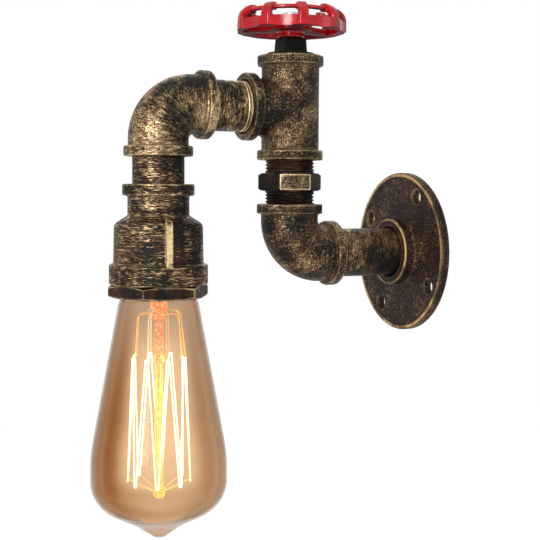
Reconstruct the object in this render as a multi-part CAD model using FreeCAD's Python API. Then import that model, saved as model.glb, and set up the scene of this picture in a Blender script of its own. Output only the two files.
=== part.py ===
import FreeCAD, Part
import math
import os
from FreeCAD import Placement, Rotation, Vector

# Industrial pipe wall light: a floor flange on the wall, threaded pipe fittings, a lampholder in a
# bell reducer, a hanging filament bulb, and a cast handwheel on the tee's plug.
# The wall is the plane Y = 0, the arm reaches towards -Y, +Z is up, and the origin is the centre of
# the flange's back face. All lengths are in millimetres, all angles in degrees.

# ---- pipe and its threaded joints ----
pipe_od = 26.9
pipe_wall = 2.9
pipe_end_round = 0.8
thread_gap = 0.1            # radial gap of a threaded joint
thread_engagement = 10.5    # how far a pipe goes into a fitting
tapping_runout = 0.6        # tapping beyond the pipe's end
mouth_chamfer = 1.3         # countersink at every tapped mouth

# ---- banded fittings ----
band_od = 35.8
band_width = 5.2
band_round = 0.7
band_root = 1.3
fitting_od = 31.2
fitting_passage = 22.0
elbow_reach = 27.2          # elbow's centre to its end
elbow_bend = 18.5
tee_reach = 27.9            # tee's centre to each end
tee_branch_od = 30.4
tee_crotch = 3.0

# ---- exposed lengths between fittings ----
lower_nipple_exposed = 36.0
hex_nipple_exposed = 23.9
upper_nipple_exposed = 20.4
reducer_nipple_exposed = 14.2

# ---- wall flange ----
flange_od = 90.0
flange_edge = 5.0
flange_hub_od = 37.6
flange_hub_height = 6.6
flange_root = 2.0
flange_round = 0.8
flange_mouth = 3.5          # free tapping behind the nipple
screw_hole_d = 8.0
screw_pcd = 72.0
screw_count = 4
screw_angle = 60.0          # first hole, from +X towards +Z
screw_hole_chamfer = 0.7

# ---- hexagons ----
hex_nipple_flats = 30.2
hex_nipple_height = 9.6
hex_nipple_angle = -45.0
hex_nipple_passage = 19.0
hex_chamfer = 1.1
hex_land = 0.17             # flat ring left round the flats by the turned-off corners

# ---- square-head plug ----
plug_shoulder_od = 26.4
plug_shoulder_height = 1.5
plug_shoulder_round = 0.5
plug_square_base = 13.8
plug_square_top = 12.9
plug_square_height = 7.9
plug_square_round = 0.9
plug_core_d = 17.0
plug_core_depth = 7.5
plug_core_round = 1.5

# ---- handwheel and its screw ----
wheel_float = 0.3           # axial play under the hub and under the washer
wheel_od = 60.0
wheel_fingers = 9
wheel_phase = -13.0         # direction of the first finger
wheel_spokes = 3
rim_height = 5.4
rim_thickness = 4.0
rim_round = 0.9
scallop_depth = 1.3
scallop_radius = 30.0
finger_width = 5.6
finger_arch = 7.8           # outer radius of a finger's arch
finger_thickness = 4.2
finger_round = 1.5
finger_proud = 0.4          # fingers stand out of the rim
finger_foot = 0.6           # finger's foot above the rim's
finger_tip = 1.6            # straight tip beyond the arch
upper_ring_width = 3.4
upper_ring_height = 2.0
upper_ring_drop = 1.8       # ring's top below the finger tops
upper_ring_offset = 1.0     # ring's middle outside the arches' centres
upper_ring_round = 0.8
hub_d = 14.6
hub_drop = 3.0              # hub's foot below the rim
hub_rise = 7.0
hub_flare = 4.5             # plate round the hub that the spokes grow from
hub_plate_inset = 0.3       # plate's faces inside the spokes' faces
hub_boss_foot_d = 13.4
hub_boss_top_d = 12.2
hub_edge_round = 0.8
hub_root_round = 2.6
hub_boss_root = 1.5
spoke_thickness = 3.4
spoke_drop = 0.7            # spoke's underside above the rim's foot
spoke_width_hub = 9.5
spoke_width_rim = 6.5
spoke_round = 1.2
spoke_bite = 1.0            # spoke's end inside the rim
spoke_root_wall = 0.6       # hub left inside the spokes' roots
wheel_pin_d = 5.0
wheel_pin_gap = 0.06        # radial running gap
screw_thread_d = 4.0
screw_thread_length = 9.0
screw_end_clearance = 0.5
screw_end_round = 0.4
screw_head_d = 8.8
screw_head_height = 2.8
screw_head_edge = 0.3
screw_head_round = 1.6
screw_slot_width = 1.2
screw_slot_depth = 1.2
washer_od = 11.0
washer_thickness = 0.8
small_screw_gap = 0.1       # radial gap round a small screw or rivet

# ---- bell reducer, sizes down from its top ----
reducer_collar_od = 37.2
reducer_collar_height = 6.0
reducer_neck_od = 31.9
reducer_neck_end = 16.2
reducer_shoulder_end = 20.6
reducer_body_od_top = 45.8
reducer_body_od_bottom = 46.8
reducer_body_end = 41.4
reducer_mouth_od = 51.2
reducer_length = 51.8
reducer_round = 0.9
reducer_shoulder_round = 3.6
reducer_neck_root = 1.6
reducer_mouth_root = 1.0
reducer_passage_taper = 2.0
reducer_passage = 24.4
reducer_cavity = 39.0
reducer_cavity_start = 20.3
cast_rib_width = 3.2
cast_rib_proud = 0.9
cast_rib_round = 0.7
cast_rib_depth = 1.5        # how deep a rib is rooted in the wall
cast_rib_overlap = 1.0      # how far a rib runs into the neck and the mouth's collar
cast_rib_angle = -6.0
cast_rib_count = 2

# ---- hexagonal ring under the reducer ----
ring_flats = 46.0
ring_height = 6.8
ring_angle = 24.0
ring_thread_od = 42.0
ring_bore = 39.0
ring_spigot = 9.0

# ---- lampholder ----
holder_flange_height = 3.8
holder_flange_gap = 0.3
holder_barrel_d = 35.6
holder_barrel_rise = 17.4
holder_lip_d = 34.6
holder_lip_drop = 4.2
holder_floor = 4.5
holder_round = 1.2
holder_lip_round = 0.8
holder_bore_round = 0.5
socket_gap = 0.35           # radial gap between the bulb's cap and the screw shell
socket_sheet = 0.45
socket_seat_gap = 0.15      # screw shell in the ceramic
socket_lip_width = 3.4
socket_setback = 0.5        # shell's open end inside the ceramic lip
contact_sheet = 0.4
contact_width = 5.0
contact_tail = 2.2          # strip beyond its rivet
contact_shoulder = 1.8      # rivet to the strip's bend
contact_foot_inner = 1.0    # free end, on the rivet's side of the axis
contact_foot_outer = 2.4    # free end, beyond the axis
contact_gap = 0.3           # sprung contact to the bulb's contact
contact_rivet_x = 5.5
shell_rivet_x = -11.9
rivet_d = 2.6
terminal_length = 10.5
terminal_width = 9.0
terminal_sheet = 1.2
terminal_screw_offset = 5.0
terminal_screw_y = -1.6
terminal_screw_d = 3.0
terminal_screw_length = 4.0
terminal_head_d = 5.0
terminal_head_height = 2.0
terminal_head_round = 0.5
terminal_screw_clearance = 0.5

# ---- leads in the pipe ----
lead_d = 2.4
lead_spacing = 5.0
lead_bend = 13.0
lead_small_bend = 6.0
lead_y_at_terminal = 2.6
lead_seat_gap = 0.1
lead_setback = 0.5          # leads end inside the lower nipple

# ---- bulb ----
cap_d = 26.0
cap_sheet = 0.4
cap_height = 25.0
cap_rim_d = 27.2
cap_rim_height = 2.2
cap_rim_taper = 0.2
cap_rim_round = 0.3
cap_rim_slope = 0.8
cap_top_inset = 1.8         # cap's end drawn in to hold the insulator
cap_top_bevel = 0.6
cap_insulator_height = 4.0
cap_contact_d = 9.6
cap_contact_height = 1.6
cap_contact_gap = 0.3
cap_contact_edge = 0.4
cap_contact_crown = 2.2
cap_contact_round = 0.8
insulator_in_cap = 1.2
insulator_inset = 0.6
insulator_round = 0.5
cap_above_ring = 5.4        # cap's rim above the ring's lower face
glass_thickness = 0.9
glass_in_cap = 5.0
glass_gap = 0.1
glass_neck_d = 24.8
glass_length = 127.2        # below the ring's lower face
glass_shoulder_d = 40.5     # where the flank would meet the ring's lower face
glass_shoulder_rise = 4.2   # foot of the neck above the ring's lower face
glass_belly_d = 71.8
glass_belly_top = 83.3      # depths between which the belly is widest
glass_belly_foot = 107.3
pip_root_d = 26.7
pip_height = 7.4
pip_tip_d = 6.0
glass_neck_round = 2.0
glass_shoulder_round = 18.0
glass_flank_round = 80.0
glass_belly_round = 24.0
pip_root_round = 3.0
pip_round = 6.5

# ---- glass mount and filament, depths below the ring's lower face ----
flare_height = 7.5
flare_rim_height = 1.5
flare_rim_round = 0.5
flare_root_round = 3.0
flare_floor = 1.0
flare_tube_d = 8.4
flare_tube_bore = 5.6
press_width = 12.4
press_thickness = 6.0
press_start = -1.0
press_end = 7.0
press_round = 1.6
rod_d = 4.3
rod_root = 1.0              # rod's start inside the press
button_depth = 10.0         # glass button that holds the upper supports
upper_bead_depth = 32.5
lower_button_depth = 103.6  # glass button that holds the lower supports
bead_d = 6.6
support_d = 0.5
support_bend = 0.8
upper_shoulder_radius = 11.4
upper_shoulder_depth = 7.6
upper_shoulder_bend = 3.5
upper_heel_radius = 12.8
upper_hook_depth = 32.0
upper_hook_radius = 14.2
lower_hook_depth = 96.8
lower_hook_radius = 16.4
hook_count = 8
hook_tip = 1.2
filament_d = 0.3
filament_turn = 0.65        # radius of the filament round a hook
filament_start_angle = 112.5
gap_step = 1.0              # spacing of the points that the wire's least gap is measured on
gap_skip = 3.0              # stretches nearer than this along the wire are neighbours
filament_end_share = 0.6    # how far towards the next upper hook each end of the wire goes
lead_in_d = 0.7
lead_in_spacing = 3.0
lead_in_spread = 7.2
lead_in_bend = 3.5
lead_in_small_bend = 1.2
lead_in_top = 7.0           # leads' upper ends above the cap's rim
lead_in_press_depth = 5.4   # leads spread this far below the ring's lower face

# ---- worked out from the sizes above ----
pipe_r = pipe_od / 2
pipe_bore_r = pipe_r - pipe_wall
tapping_r = pipe_r + thread_gap
tapping_depth = thread_engagement + tapping_runout

hub_face_y = -(flange_edge + flange_hub_height)
lower_elbow_face_y = hub_face_y - lower_nipple_exposed
riser_y = lower_elbow_face_y - elbow_reach
arm_z = elbow_reach + hex_nipple_exposed + tee_reach
tee_top_z = arm_z + tee_reach
tee_branch_y = riser_y - tee_reach
upper_elbow_face_y = tee_branch_y - upper_nipple_exposed
bulb_y = upper_elbow_face_y - elbow_reach
reducer_top_z = arm_z - elbow_reach - reducer_nipple_exposed
reducer_mouth_z = reducer_top_z - reducer_length
ring_bottom_z = reducer_mouth_z - ring_height
holder_flange_z = reducer_mouth_z + ring_spigot
holder_ledge_z = holder_flange_z + holder_flange_height
holder_top_z = holder_ledge_z + holder_barrel_rise
cap_rim_z = ring_bottom_z + cap_above_ring
cap_tip_z = cap_rim_z + cap_height
socket_r = cap_d / 2 + socket_gap

wheel_foot_z = tee_top_z + plug_shoulder_height + plug_square_height + wheel_float + hub_drop
wheel_height = rim_height + finger_arch
rim_r = wheel_od / 2 - finger_proud
wheel_pin_r = wheel_pin_d / 2

UP = Vector(0, 0, 1)
DOWN = Vector(0, 0, -1)
OUT = Vector(0, -1, 0)      # away from the wall
BACK = Vector(0, 1, 0)      # towards the wall

tiny = 1e-6                 # lengths under this count as zero
arc_share = 0.45            # most of a side that a corner's arc may take
cut_margin = 1.0            # how far a cutting tool runs past what it cuts


def bulb_axis(z):
    return Vector(0, bulb_y, z)


def riser_axis(z):
    return Vector(0, riser_y, z)


def rounded_wire(corners):
    """Closed wire in the XZ plane through (x, z, corner radius), with an arc at each rounded corner."""
    edges = []
    joints = []
    count = len(corners)
    for i in range(count):
        x, z, radius = corners[i]
        corner = Vector(x, 0, z)
        before = Vector(corners[i - 1][0], 0, corners[i - 1][1]) - corner
        after = Vector(corners[(i + 1) % count][0], 0, corners[(i + 1) % count][1]) - corner
        if radius == 0:
            joints.append((corner, None, corner))
            continue
        half = before.getAngle(after) / 2
        setback = min(radius / math.tan(half), arc_share * min(before.Length, after.Length))
        reach = setback * math.tan(half)
        before.normalize()
        after.normalize()
        bisector = (before + after).normalize()
        middle = corner + bisector * (reach / math.sin(half) - reach)
        joints.append((corner + before * setback, middle, corner + after * setback))
    for i in range(count):
        start, middle, end = joints[i]
        if middle is not None:
            edges.append(Part.Arc(start, middle, end).toShape())
        following = joints[(i + 1) % count][0]
        if end.distanceToPoint(following) > tiny:
            edges.append(Part.LineSegment(end, following).toShape())
    return Part.Wire(edges)


def turned(corners, base, axis):
    """Solid turned from (radius, height, corner radius) corners, its own axis laid along axis."""
    face = Part.Face(rounded_wire(corners))
    solid = face.revolve(Vector(0, 0, 0), UP, 360)
    solid.Placement = Placement(base, Rotation(UP, axis))
    return solid


def rod(radius, length, base, axis):
    return Part.makeCylinder(radius, length, base, axis)


def tapping(face, inward, passage_r, passage_length):
    """Tool for one tapped mouth: countersink, tapping and the start of the passage behind it."""
    chamfer_r = tapping_r + mouth_chamfer
    cone = Part.makeCone(chamfer_r, tapping_r, mouth_chamfer, face, inward)
    tool = cone.fuse(rod(tapping_r, tapping_depth, face, inward))
    return tool.fuse(rod(passage_r, passage_length, face, inward))


def port(centre, direction, start, reach, body_r):
    """One banded end of a fitting, from start to reach along direction, without its bore."""
    band_r = band_od / 2
    return turned(
        [
            (0, start, 0),
            (body_r, start, 0),
            (body_r, reach - band_width, band_root),
            (band_r, reach - band_width, band_round),
            (band_r, reach, band_round),
            (0, reach, 0),
        ],
        centre,
        direction,
    )


def quarter_bend(tube_r, centre, bend, toward_a, toward_b):
    """Quarter of a torus that joins the two directions leaving centre."""
    pivot = centre + (toward_a + toward_b) * bend
    circle = Part.Circle(centre + toward_a * bend, toward_a, tube_r)
    disc = Part.Face(Part.Wire(circle.toShape()))
    return disc.revolve(pivot, toward_b.cross(toward_a), 90)


def elbow(centre, toward_a, toward_b):
    body = quarter_bend(fitting_od / 2, centre, elbow_bend, toward_a, toward_b)
    for direction in (toward_a, toward_b):
        body = body.fuse(port(centre, direction, elbow_bend, elbow_reach, fitting_od / 2))
    passage_r = fitting_passage / 2
    bore = quarter_bend(passage_r, centre, elbow_bend, toward_a, toward_b)
    for direction in (toward_a, toward_b):
        face = centre + direction * elbow_reach
        bore = bore.fuse(tapping(face, direction * -1, passage_r, elbow_reach - elbow_bend))
    return body.cut(bore).removeSplitter()


def tee():
    centre = riser_axis(arm_z)
    branch_r = tee_branch_od / 2
    run = port(centre, UP, 0, tee_reach, fitting_od / 2)
    run = run.fuse(port(centre, DOWN, 0, tee_reach, fitting_od / 2)).removeSplitter()
    body = run.fuse(port(centre, OUT, 0, tee_reach, branch_r))
    meeting = [edge for edge in body.Edges if joins_run_and_branch(edge, centre)]
    body = body.makeFillet(tee_crotch, meeting)
    for direction in (UP, DOWN, OUT):
        face = centre + direction * tee_reach
        body = body.cut(tapping(face, direction * -1, fitting_passage / 2, tee_reach))
    return body


def joins_run_and_branch(edge, centre):
    """True for the edges where the branch's round wall meets the run's."""
    run_r = fitting_od / 2
    branch_r = tee_branch_od / 2
    for share in (0.2, 0.5, 0.8):
        span = edge.LastParameter - edge.FirstParameter
        point = edge.valueAt(edge.FirstParameter + share * span) - centre
        from_run = abs(math.hypot(point.x, point.y) - run_r)
        from_branch = abs(math.hypot(point.x, point.z) - branch_r)
        if from_run > 0.05 or from_branch > 0.05 or point.y > 0:
            return False
    return True


def nipple(start, direction, exposed, first_engagement, second_engagement):
    """Plain pipe from a fitting's face at start, with its two threaded ends inside the fittings."""
    base = start - direction * first_engagement
    length = exposed + first_engagement + second_engagement
    return turned(
        [
            (pipe_bore_r, 0, 0),
            (pipe_r, 0, pipe_end_round),
            (pipe_r, length, pipe_end_round),
            (pipe_bore_r, length, 0),
        ],
        base,
        direction,
    )


def hexagon(flats, height, base_z, centre_y, angle, chamfer):
    """Upright hexagonal block whose corners are turned off at both ends."""
    corner_r = flats / math.sqrt(3)
    points = []
    for k in range(7):
        turn = math.radians(angle + 60 * k)
        points.append(Vector(corner_r * math.cos(turn), centre_y + corner_r * math.sin(turn), base_z))
    block = Part.Face(Part.makePolygon(points)).extrude(Vector(0, 0, height))
    flank_r = flats / 2 + hex_land
    limit = turned(
        [
            (0, 0, 0),
            (flank_r, 0, 0),
            (corner_r, chamfer, 0),
            (corner_r, height - chamfer, 0),
            (flank_r, height, 0),
            (0, height, 0),
        ],
        Vector(0, centre_y, base_z),
        UP,
    )
    return block.common(limit)


def hex_nipple():
    base_z = elbow_reach - thread_engagement
    length = hex_nipple_exposed + 2 * thread_engagement
    hex_z = elbow_reach + (hex_nipple_exposed - hex_nipple_height) / 2
    body = rod(pipe_r, length, riser_axis(base_z), UP)
    block = hexagon(hex_nipple_flats, hex_nipple_height, hex_z, riser_y, hex_nipple_angle, hex_chamfer)
    body = body.fuse(block)
    return body.cut(rod(hex_nipple_passage / 2, length, riser_axis(base_z), UP)).removeSplitter()


def wall_flange():
    hub_r = flange_hub_od / 2
    height = flange_edge + flange_hub_height
    body = turned(
        [
            (tapping_r, 0, 0),
            (flange_od / 2, 0, flange_round),
            (flange_od / 2, flange_edge, flange_round),
            (hub_r, flange_edge, flange_root),
            (hub_r, height, flange_round),
            (tapping_r + mouth_chamfer, height, 0),
            (tapping_r, height - mouth_chamfer, 0),
        ],
        Vector(0, 0, 0),
        OUT,
    )
    for k in range(screw_count):
        turn = math.radians(screw_angle + 360 / screw_count * k)
        centre = Vector(screw_pcd / 2 * math.cos(turn), 0, screw_pcd / 2 * math.sin(turn))
        body = body.cut(rod(screw_hole_d / 2, flange_edge, centre, OUT))
        mouth = centre + OUT * (flange_edge - screw_hole_chamfer)
        widest = screw_hole_d / 2 + screw_hole_chamfer
        body = body.cut(Part.makeCone(screw_hole_d / 2, widest, screw_hole_chamfer, mouth, OUT))
    return body


def square_wire(side, z):
    half = side / 2
    corners = [(-half, -half), (half, -half), (half, half), (-half, half), (-half, -half)]
    return Part.makePolygon([Vector(x, riser_y + y, z) for x, y in corners])


def square_head_plug():
    head_z = tee_top_z + plug_shoulder_height
    top_z = head_z + plug_square_height
    ends = [square_wire(plug_square_base, head_z), square_wire(plug_square_top, top_z)]
    head = Part.makeLoft(ends, True, True)
    crown = [edge for edge in head.Edges if edge.BoundBox.ZMax > top_z - tiny]
    head = head.makeFillet(plug_square_round, crown)
    thread_foot = -thread_engagement
    body = turned(
        [
            (plug_core_d / 2, thread_foot, 0),
            (pipe_r, thread_foot, 0),
            (pipe_r, 0, 0),
            (plug_shoulder_od / 2, 0, 0),
            (plug_shoulder_od / 2, plug_shoulder_height, plug_shoulder_round),
            (0, plug_shoulder_height, 0),
            (0, thread_foot + plug_core_depth, 0),
            (plug_core_d / 2, thread_foot + plug_core_depth, plug_core_round),
        ],
        riser_axis(tee_top_z),
        UP,
    )
    hole = rod(screw_thread_d / 2 + small_screw_gap, screw_thread_length, riser_axis(top_z), DOWN)
    return body.fuse(head).cut(hole)


def finger(turn):
    """One arched finger of the wheel: a quarter ring on a leg that stands in the rim."""
    tip_r = wheel_od / 2
    inner_arch = finger_arch - finger_thickness
    arch_r = tip_r - finger_arch
    lean = math.sqrt(0.5)
    top = wheel_height
    start = Vector(tip_r, 0, finger_foot)
    outer_start = Vector(tip_r, 0, rim_height)
    outer_middle = Vector(arch_r + finger_arch * lean, 0, rim_height + finger_arch * lean)
    outer_end = Vector(arch_r, 0, top)
    tip_top = Vector(arch_r - finger_tip, 0, top)
    tip_foot = Vector(arch_r - finger_tip, 0, top - finger_thickness)
    inner_end = Vector(arch_r, 0, top - finger_thickness)
    inner_middle = Vector(arch_r + inner_arch * lean, 0, rim_height + inner_arch * lean)
    inner_start = Vector(arch_r + inner_arch, 0, rim_height)
    foot = Vector(arch_r + inner_arch, 0, finger_foot)
    outline = Part.Wire(
        [
            Part.LineSegment(start, outer_start).toShape(),
            Part.Arc(outer_start, outer_middle, outer_end).toShape(),
            Part.LineSegment(outer_end, tip_top).toShape(),
            Part.LineSegment(tip_top, tip_foot).toShape(),
            Part.LineSegment(tip_foot, inner_end).toShape(),
            Part.Arc(inner_end, inner_middle, inner_start).toShape(),
            Part.LineSegment(inner_start, foot).toShape(),
            Part.LineSegment(foot, start).toShape(),
        ]
    )
    half = finger_width / 2
    body = Part.Face(outline).extrude(Vector(0, finger_width, 0))
    body.translate(Vector(0, -half, 0))
    long_edges = [edge for edge in body.Edges if edge.BoundBox.YLength < tiny]
    body = body.makeFillet(finger_round, long_edges)
    body.rotate(Vector(0, 0, 0), UP, turn)
    return body


def spoke(turn):
    root_r = wheel_pin_r + wheel_pin_gap + spoke_root_wall
    tip_r = rim_r - rim_thickness + spoke_bite
    z = spoke_drop
    points = [
        Vector(root_r, -spoke_width_hub / 2, z),
        Vector(tip_r, -spoke_width_rim / 2, z),
        Vector(tip_r, spoke_width_rim / 2, z),
        Vector(root_r, spoke_width_hub / 2, z),
        Vector(root_r, -spoke_width_hub / 2, z),
    ]
    body = Part.Face(Part.makePolygon(points)).extrude(Vector(0, 0, spoke_thickness))
    long_edges = [edge for edge in body.Edges if edge.BoundBox.XLength > spoke_bite]
    body = body.makeFillet(spoke_round, long_edges)
    body.rotate(Vector(0, 0, 0), UP, turn)
    return body


def handwheel():
    """Built about its own axis with the first finger on +X, then turned and set on the plug."""
    rim = turned(
        [
            (rim_r - rim_thickness, 0, rim_round),
            (rim_r, 0, rim_round),
            (rim_r, rim_height, rim_round),
            (rim_r - rim_thickness, rim_height, rim_round),
        ],
        Vector(0, 0, 0),
        UP,
    )
    ring_outer = wheel_od / 2 - finger_arch + upper_ring_width / 2 + upper_ring_offset
    ring_top = wheel_height - upper_ring_drop
    ring = turned(
        [
            (ring_outer - upper_ring_width, ring_top - upper_ring_height, upper_ring_round),
            (ring_outer, ring_top - upper_ring_height, upper_ring_round),
            (ring_outer, ring_top, upper_ring_round),
            (ring_outer - upper_ring_width, ring_top, upper_ring_round),
        ],
        Vector(0, 0, 0),
        UP,
    )
    pitch = 360 / wheel_fingers
    scallop_centre = rim_r - scallop_depth + scallop_radius
    for k in range(wheel_fingers):
        turn = math.radians(pitch * (k + 0.5))
        foot = Vector(scallop_centre * math.cos(turn), scallop_centre * math.sin(turn), -cut_margin)
        rim = rim.cut(rod(scallop_radius, rim_height + 2 * cut_margin, foot, UP))
    plate_foot = spoke_drop + hub_plate_inset
    plate_top = spoke_drop + spoke_thickness - hub_plate_inset
    hub = turned(
        [
            (0, -hub_drop, 0),
            (hub_d / 2, -hub_drop, hub_edge_round),
            (hub_d / 2, plate_foot, hub_root_round),
            (hub_d / 2 + hub_flare, plate_foot, 0),
            (hub_d / 2 + hub_flare, plate_top, hub_edge_round),
            (hub_boss_foot_d / 2, plate_top, hub_boss_root),
            (hub_boss_top_d / 2, hub_rise, hub_edge_round),
            (0, hub_rise, 0),
        ],
        Vector(0, 0, 0),
        UP,
    )
    wheel = hub
    for k in range(wheel_spokes):
        wheel = wheel.fuse(spoke(360 / wheel_spokes * k))
    wheel = wheel.fuse(rim)
    fingers = [finger(pitch * k) for k in range(wheel_fingers)]
    wheel = wheel.fuse(fingers + [ring])
    hub_length = hub_drop + hub_rise
    bore = rod(wheel_pin_r + wheel_pin_gap, hub_length, Vector(0, 0, -hub_drop), UP)
    wheel = wheel.cut(bore)
    wheel.rotate(Vector(0, 0, 0), UP, wheel_phase)
    wheel.translate(riser_axis(wheel_foot_z))
    return wheel


def wheel_screw():
    top_z = wheel_foot_z + hub_rise + wheel_float + washer_thickness
    plug_top_z = wheel_foot_z - hub_drop - wheel_float
    thread_end_z = plug_top_z - screw_thread_length + screw_end_clearance
    body = turned(
        [
            (0, thread_end_z, 0),
            (screw_thread_d / 2, thread_end_z, screw_end_round),
            (screw_thread_d / 2, plug_top_z, 0),
            (wheel_pin_r, plug_top_z, 0),
            (wheel_pin_r, top_z, 0),
            (screw_head_d / 2, top_z, screw_head_edge),
            (screw_head_d / 2, top_z + screw_head_height, screw_head_round),
            (0, top_z + screw_head_height, 0),
        ],
        riser_axis(0),
        UP,
    )
    slot_floor_z = top_z + screw_head_height - screw_slot_depth
    slot_corner = Vector(-screw_head_d / 2, riser_y - screw_slot_width / 2, slot_floor_z)
    slot = Part.makeBox(screw_head_d, screw_slot_width, screw_slot_depth, slot_corner)
    return body.cut(slot)


def wheel_washer():
    base = riser_axis(wheel_foot_z + hub_rise + wheel_float)
    disc = rod(washer_od / 2, washer_thickness, base, UP)
    return disc.cut(rod(wheel_pin_r + small_screw_gap, washer_thickness, base, UP))


def reducer_coupling():
    neck_r = reducer_neck_od / 2
    passage_r = reducer_passage / 2
    cavity_r = reducer_cavity / 2
    mouth_r = reducer_mouth_od / 2
    thread_r = ring_thread_od / 2 + thread_gap
    ledge = reducer_length - (holder_ledge_z - reducer_mouth_z)
    passage_start = tapping_depth
    body = turned(
        [
            (tapping_r, mouth_chamfer, 0),
            (tapping_r + mouth_chamfer, 0, 0),
            (reducer_collar_od / 2, 0, band_round),
            (reducer_collar_od / 2, reducer_collar_height, band_round),
            (neck_r, reducer_collar_height, band_root),
            (neck_r, reducer_neck_end, reducer_neck_root),
            (reducer_body_od_top / 2, reducer_shoulder_end, reducer_shoulder_round),
            (reducer_body_od_bottom / 2, reducer_body_end, reducer_mouth_root),
            (mouth_r, reducer_body_end, reducer_round),
            (mouth_r, reducer_length, reducer_round),
            (thread_r, reducer_length, 0),
            (thread_r, ledge, 0),
            (cavity_r, ledge, 0),
            (cavity_r, reducer_cavity_start, 0),
            (passage_r, passage_start + reducer_passage_taper, 0),
            (passage_r, passage_start, 0),
            (tapping_r, passage_start, 0),
        ],
        bulb_axis(reducer_top_z),
        DOWN,
    )
    return body.fuse(cast_ribs()).removeSplitter()


def cast_ribs():
    """Upright ribs on the reducer's body, from its shoulder to the mouth collar."""
    root_r = min(reducer_body_od_top, reducer_body_od_bottom) / 2 - cast_rib_depth
    tip_r = max(reducer_body_od_top, reducer_body_od_bottom) / 2 + cast_rib_proud
    shoulder_r = reducer_body_od_top / 2 + cast_rib_proud
    height = reducer_body_end - reducer_neck_end + cast_rib_overlap
    foot_z = reducer_top_z - reducer_body_end - cast_rib_overlap
    ribs = []
    for k in range(cast_rib_count):
        rib = Part.makeBox(tip_r - root_r, cast_rib_width, height, Vector(root_r, -cast_rib_width / 2, 0))
        outer_edges = [edge for edge in rib.Edges if edge.BoundBox.XMin > tip_r - tiny]
        rib = rib.makeFillet(cast_rib_round, outer_edges)
        rib.rotate(Vector(0, 0, 0), UP, cast_rib_angle + 360 / cast_rib_count * k)
        rib.translate(bulb_axis(foot_z))
        ribs.append(rib)
    limit = turned(
        [
            (0, 0, 0),
            (reducer_neck_od / 2 + cast_rib_proud, reducer_neck_end - cast_rib_overlap, 0),
            (shoulder_r, reducer_shoulder_end - cast_rib_overlap, reducer_shoulder_round),
            (tip_r, reducer_body_end + cast_rib_overlap, 0),
            (0, reducer_body_end + cast_rib_overlap, 0),
        ],
        bulb_axis(reducer_top_z),
        DOWN,
    )
    return [rib.common(limit) for rib in ribs]


def hex_bushing():
    block = hexagon(ring_flats, ring_height, ring_bottom_z, bulb_y, ring_angle, hex_chamfer)
    spigot = rod(ring_thread_od / 2, ring_spigot, bulb_axis(reducer_mouth_z), UP)
    bore = rod(ring_bore / 2, ring_height + ring_spigot, bulb_axis(ring_bottom_z), UP)
    return block.fuse(spigot).cut(bore)


def lampholder_body():
    barrel_r = holder_barrel_d / 2
    flange_r = ring_thread_od / 2 - holder_flange_gap
    pocket_r = socket_r + socket_sheet + socket_seat_gap
    height = holder_flange_height + holder_barrel_rise
    lip_r = holder_lip_d / 2
    body = turned(
        [
            (pocket_r, -holder_lip_drop, holder_bore_round),
            (lip_r, -holder_lip_drop, holder_lip_round),
            (lip_r, 0, 0),
            (flange_r, 0, 0),
            (flange_r, holder_flange_height, 0),
            (barrel_r, holder_flange_height, 0),
            (barrel_r, height, holder_round),
            (0, height, 0),
            (0, height - holder_floor, 0),
            (pocket_r, height - holder_floor, 0),
        ],
        bulb_axis(holder_flange_z),
        UP,
    )
    for x in (contact_rivet_x, shell_rivet_x):
        body = body.cut(rod(rivet_d / 2 + small_screw_gap, holder_floor, at_holder(x, 0, holder_top_z), DOWN))
    for x in terminal_screw_places():
        place = at_holder(x, terminal_screw_y, holder_top_z)
        body = body.cut(rod(terminal_screw_d / 2 + small_screw_gap, terminal_screw_length, place, DOWN))
    return body


def at_holder(x, y, z):
    return Vector(x, bulb_y + y, z)


def terminal_screw_places():
    return (contact_rivet_x + terminal_screw_offset, shell_rivet_x + terminal_screw_offset)


def lampholder_shell():
    floor_z = holder_top_z - holder_floor
    outer_r = socket_r + socket_sheet
    depth = floor_z - (holder_flange_z - holder_lip_drop) - socket_setback
    body = turned(
        [
            (socket_r, -depth, 0),
            (outer_r, -depth, 0),
            (outer_r, 0, 0),
            (outer_r - socket_lip_width, 0, 0),
            (outer_r - socket_lip_width, -socket_sheet, 0),
            (socket_r, -socket_sheet, 0),
        ],
        bulb_axis(floor_z),
        UP,
    )
    rivet_foot = at_holder(shell_rivet_x, 0, floor_z - socket_sheet)
    rivet = rod(rivet_d / 2, holder_floor + socket_sheet, rivet_foot, UP)
    return body.fuse(rivet)


def lampholder_contact():
    """Sprung strip riveted under the holder's floor, its free end at the bulb's contact."""
    floor_z = holder_top_z - holder_floor
    tip_z = cap_tip_z + contact_gap
    half = contact_width / 2
    points = [
        at_holder(contact_rivet_x + contact_tail, -half, floor_z),
        at_holder(contact_rivet_x - contact_shoulder - contact_sheet, -half, floor_z),
        at_holder(-contact_foot_outer, -half, tip_z + contact_sheet),
        at_holder(-contact_foot_outer, -half, tip_z),
        at_holder(contact_foot_inner, -half, tip_z),
        at_holder(contact_rivet_x - contact_shoulder, -half, floor_z - contact_sheet),
        at_holder(contact_rivet_x + contact_tail, -half, floor_z - contact_sheet),
        at_holder(contact_rivet_x + contact_tail, -half, floor_z),
    ]
    strip = Part.Face(Part.makePolygon(points)).extrude(Vector(0, contact_width, 0))
    rivet_foot = at_holder(contact_rivet_x, 0, floor_z - contact_sheet)
    rivet = rod(rivet_d / 2, holder_floor + contact_sheet, rivet_foot, UP)
    return strip.fuse(rivet)


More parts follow.
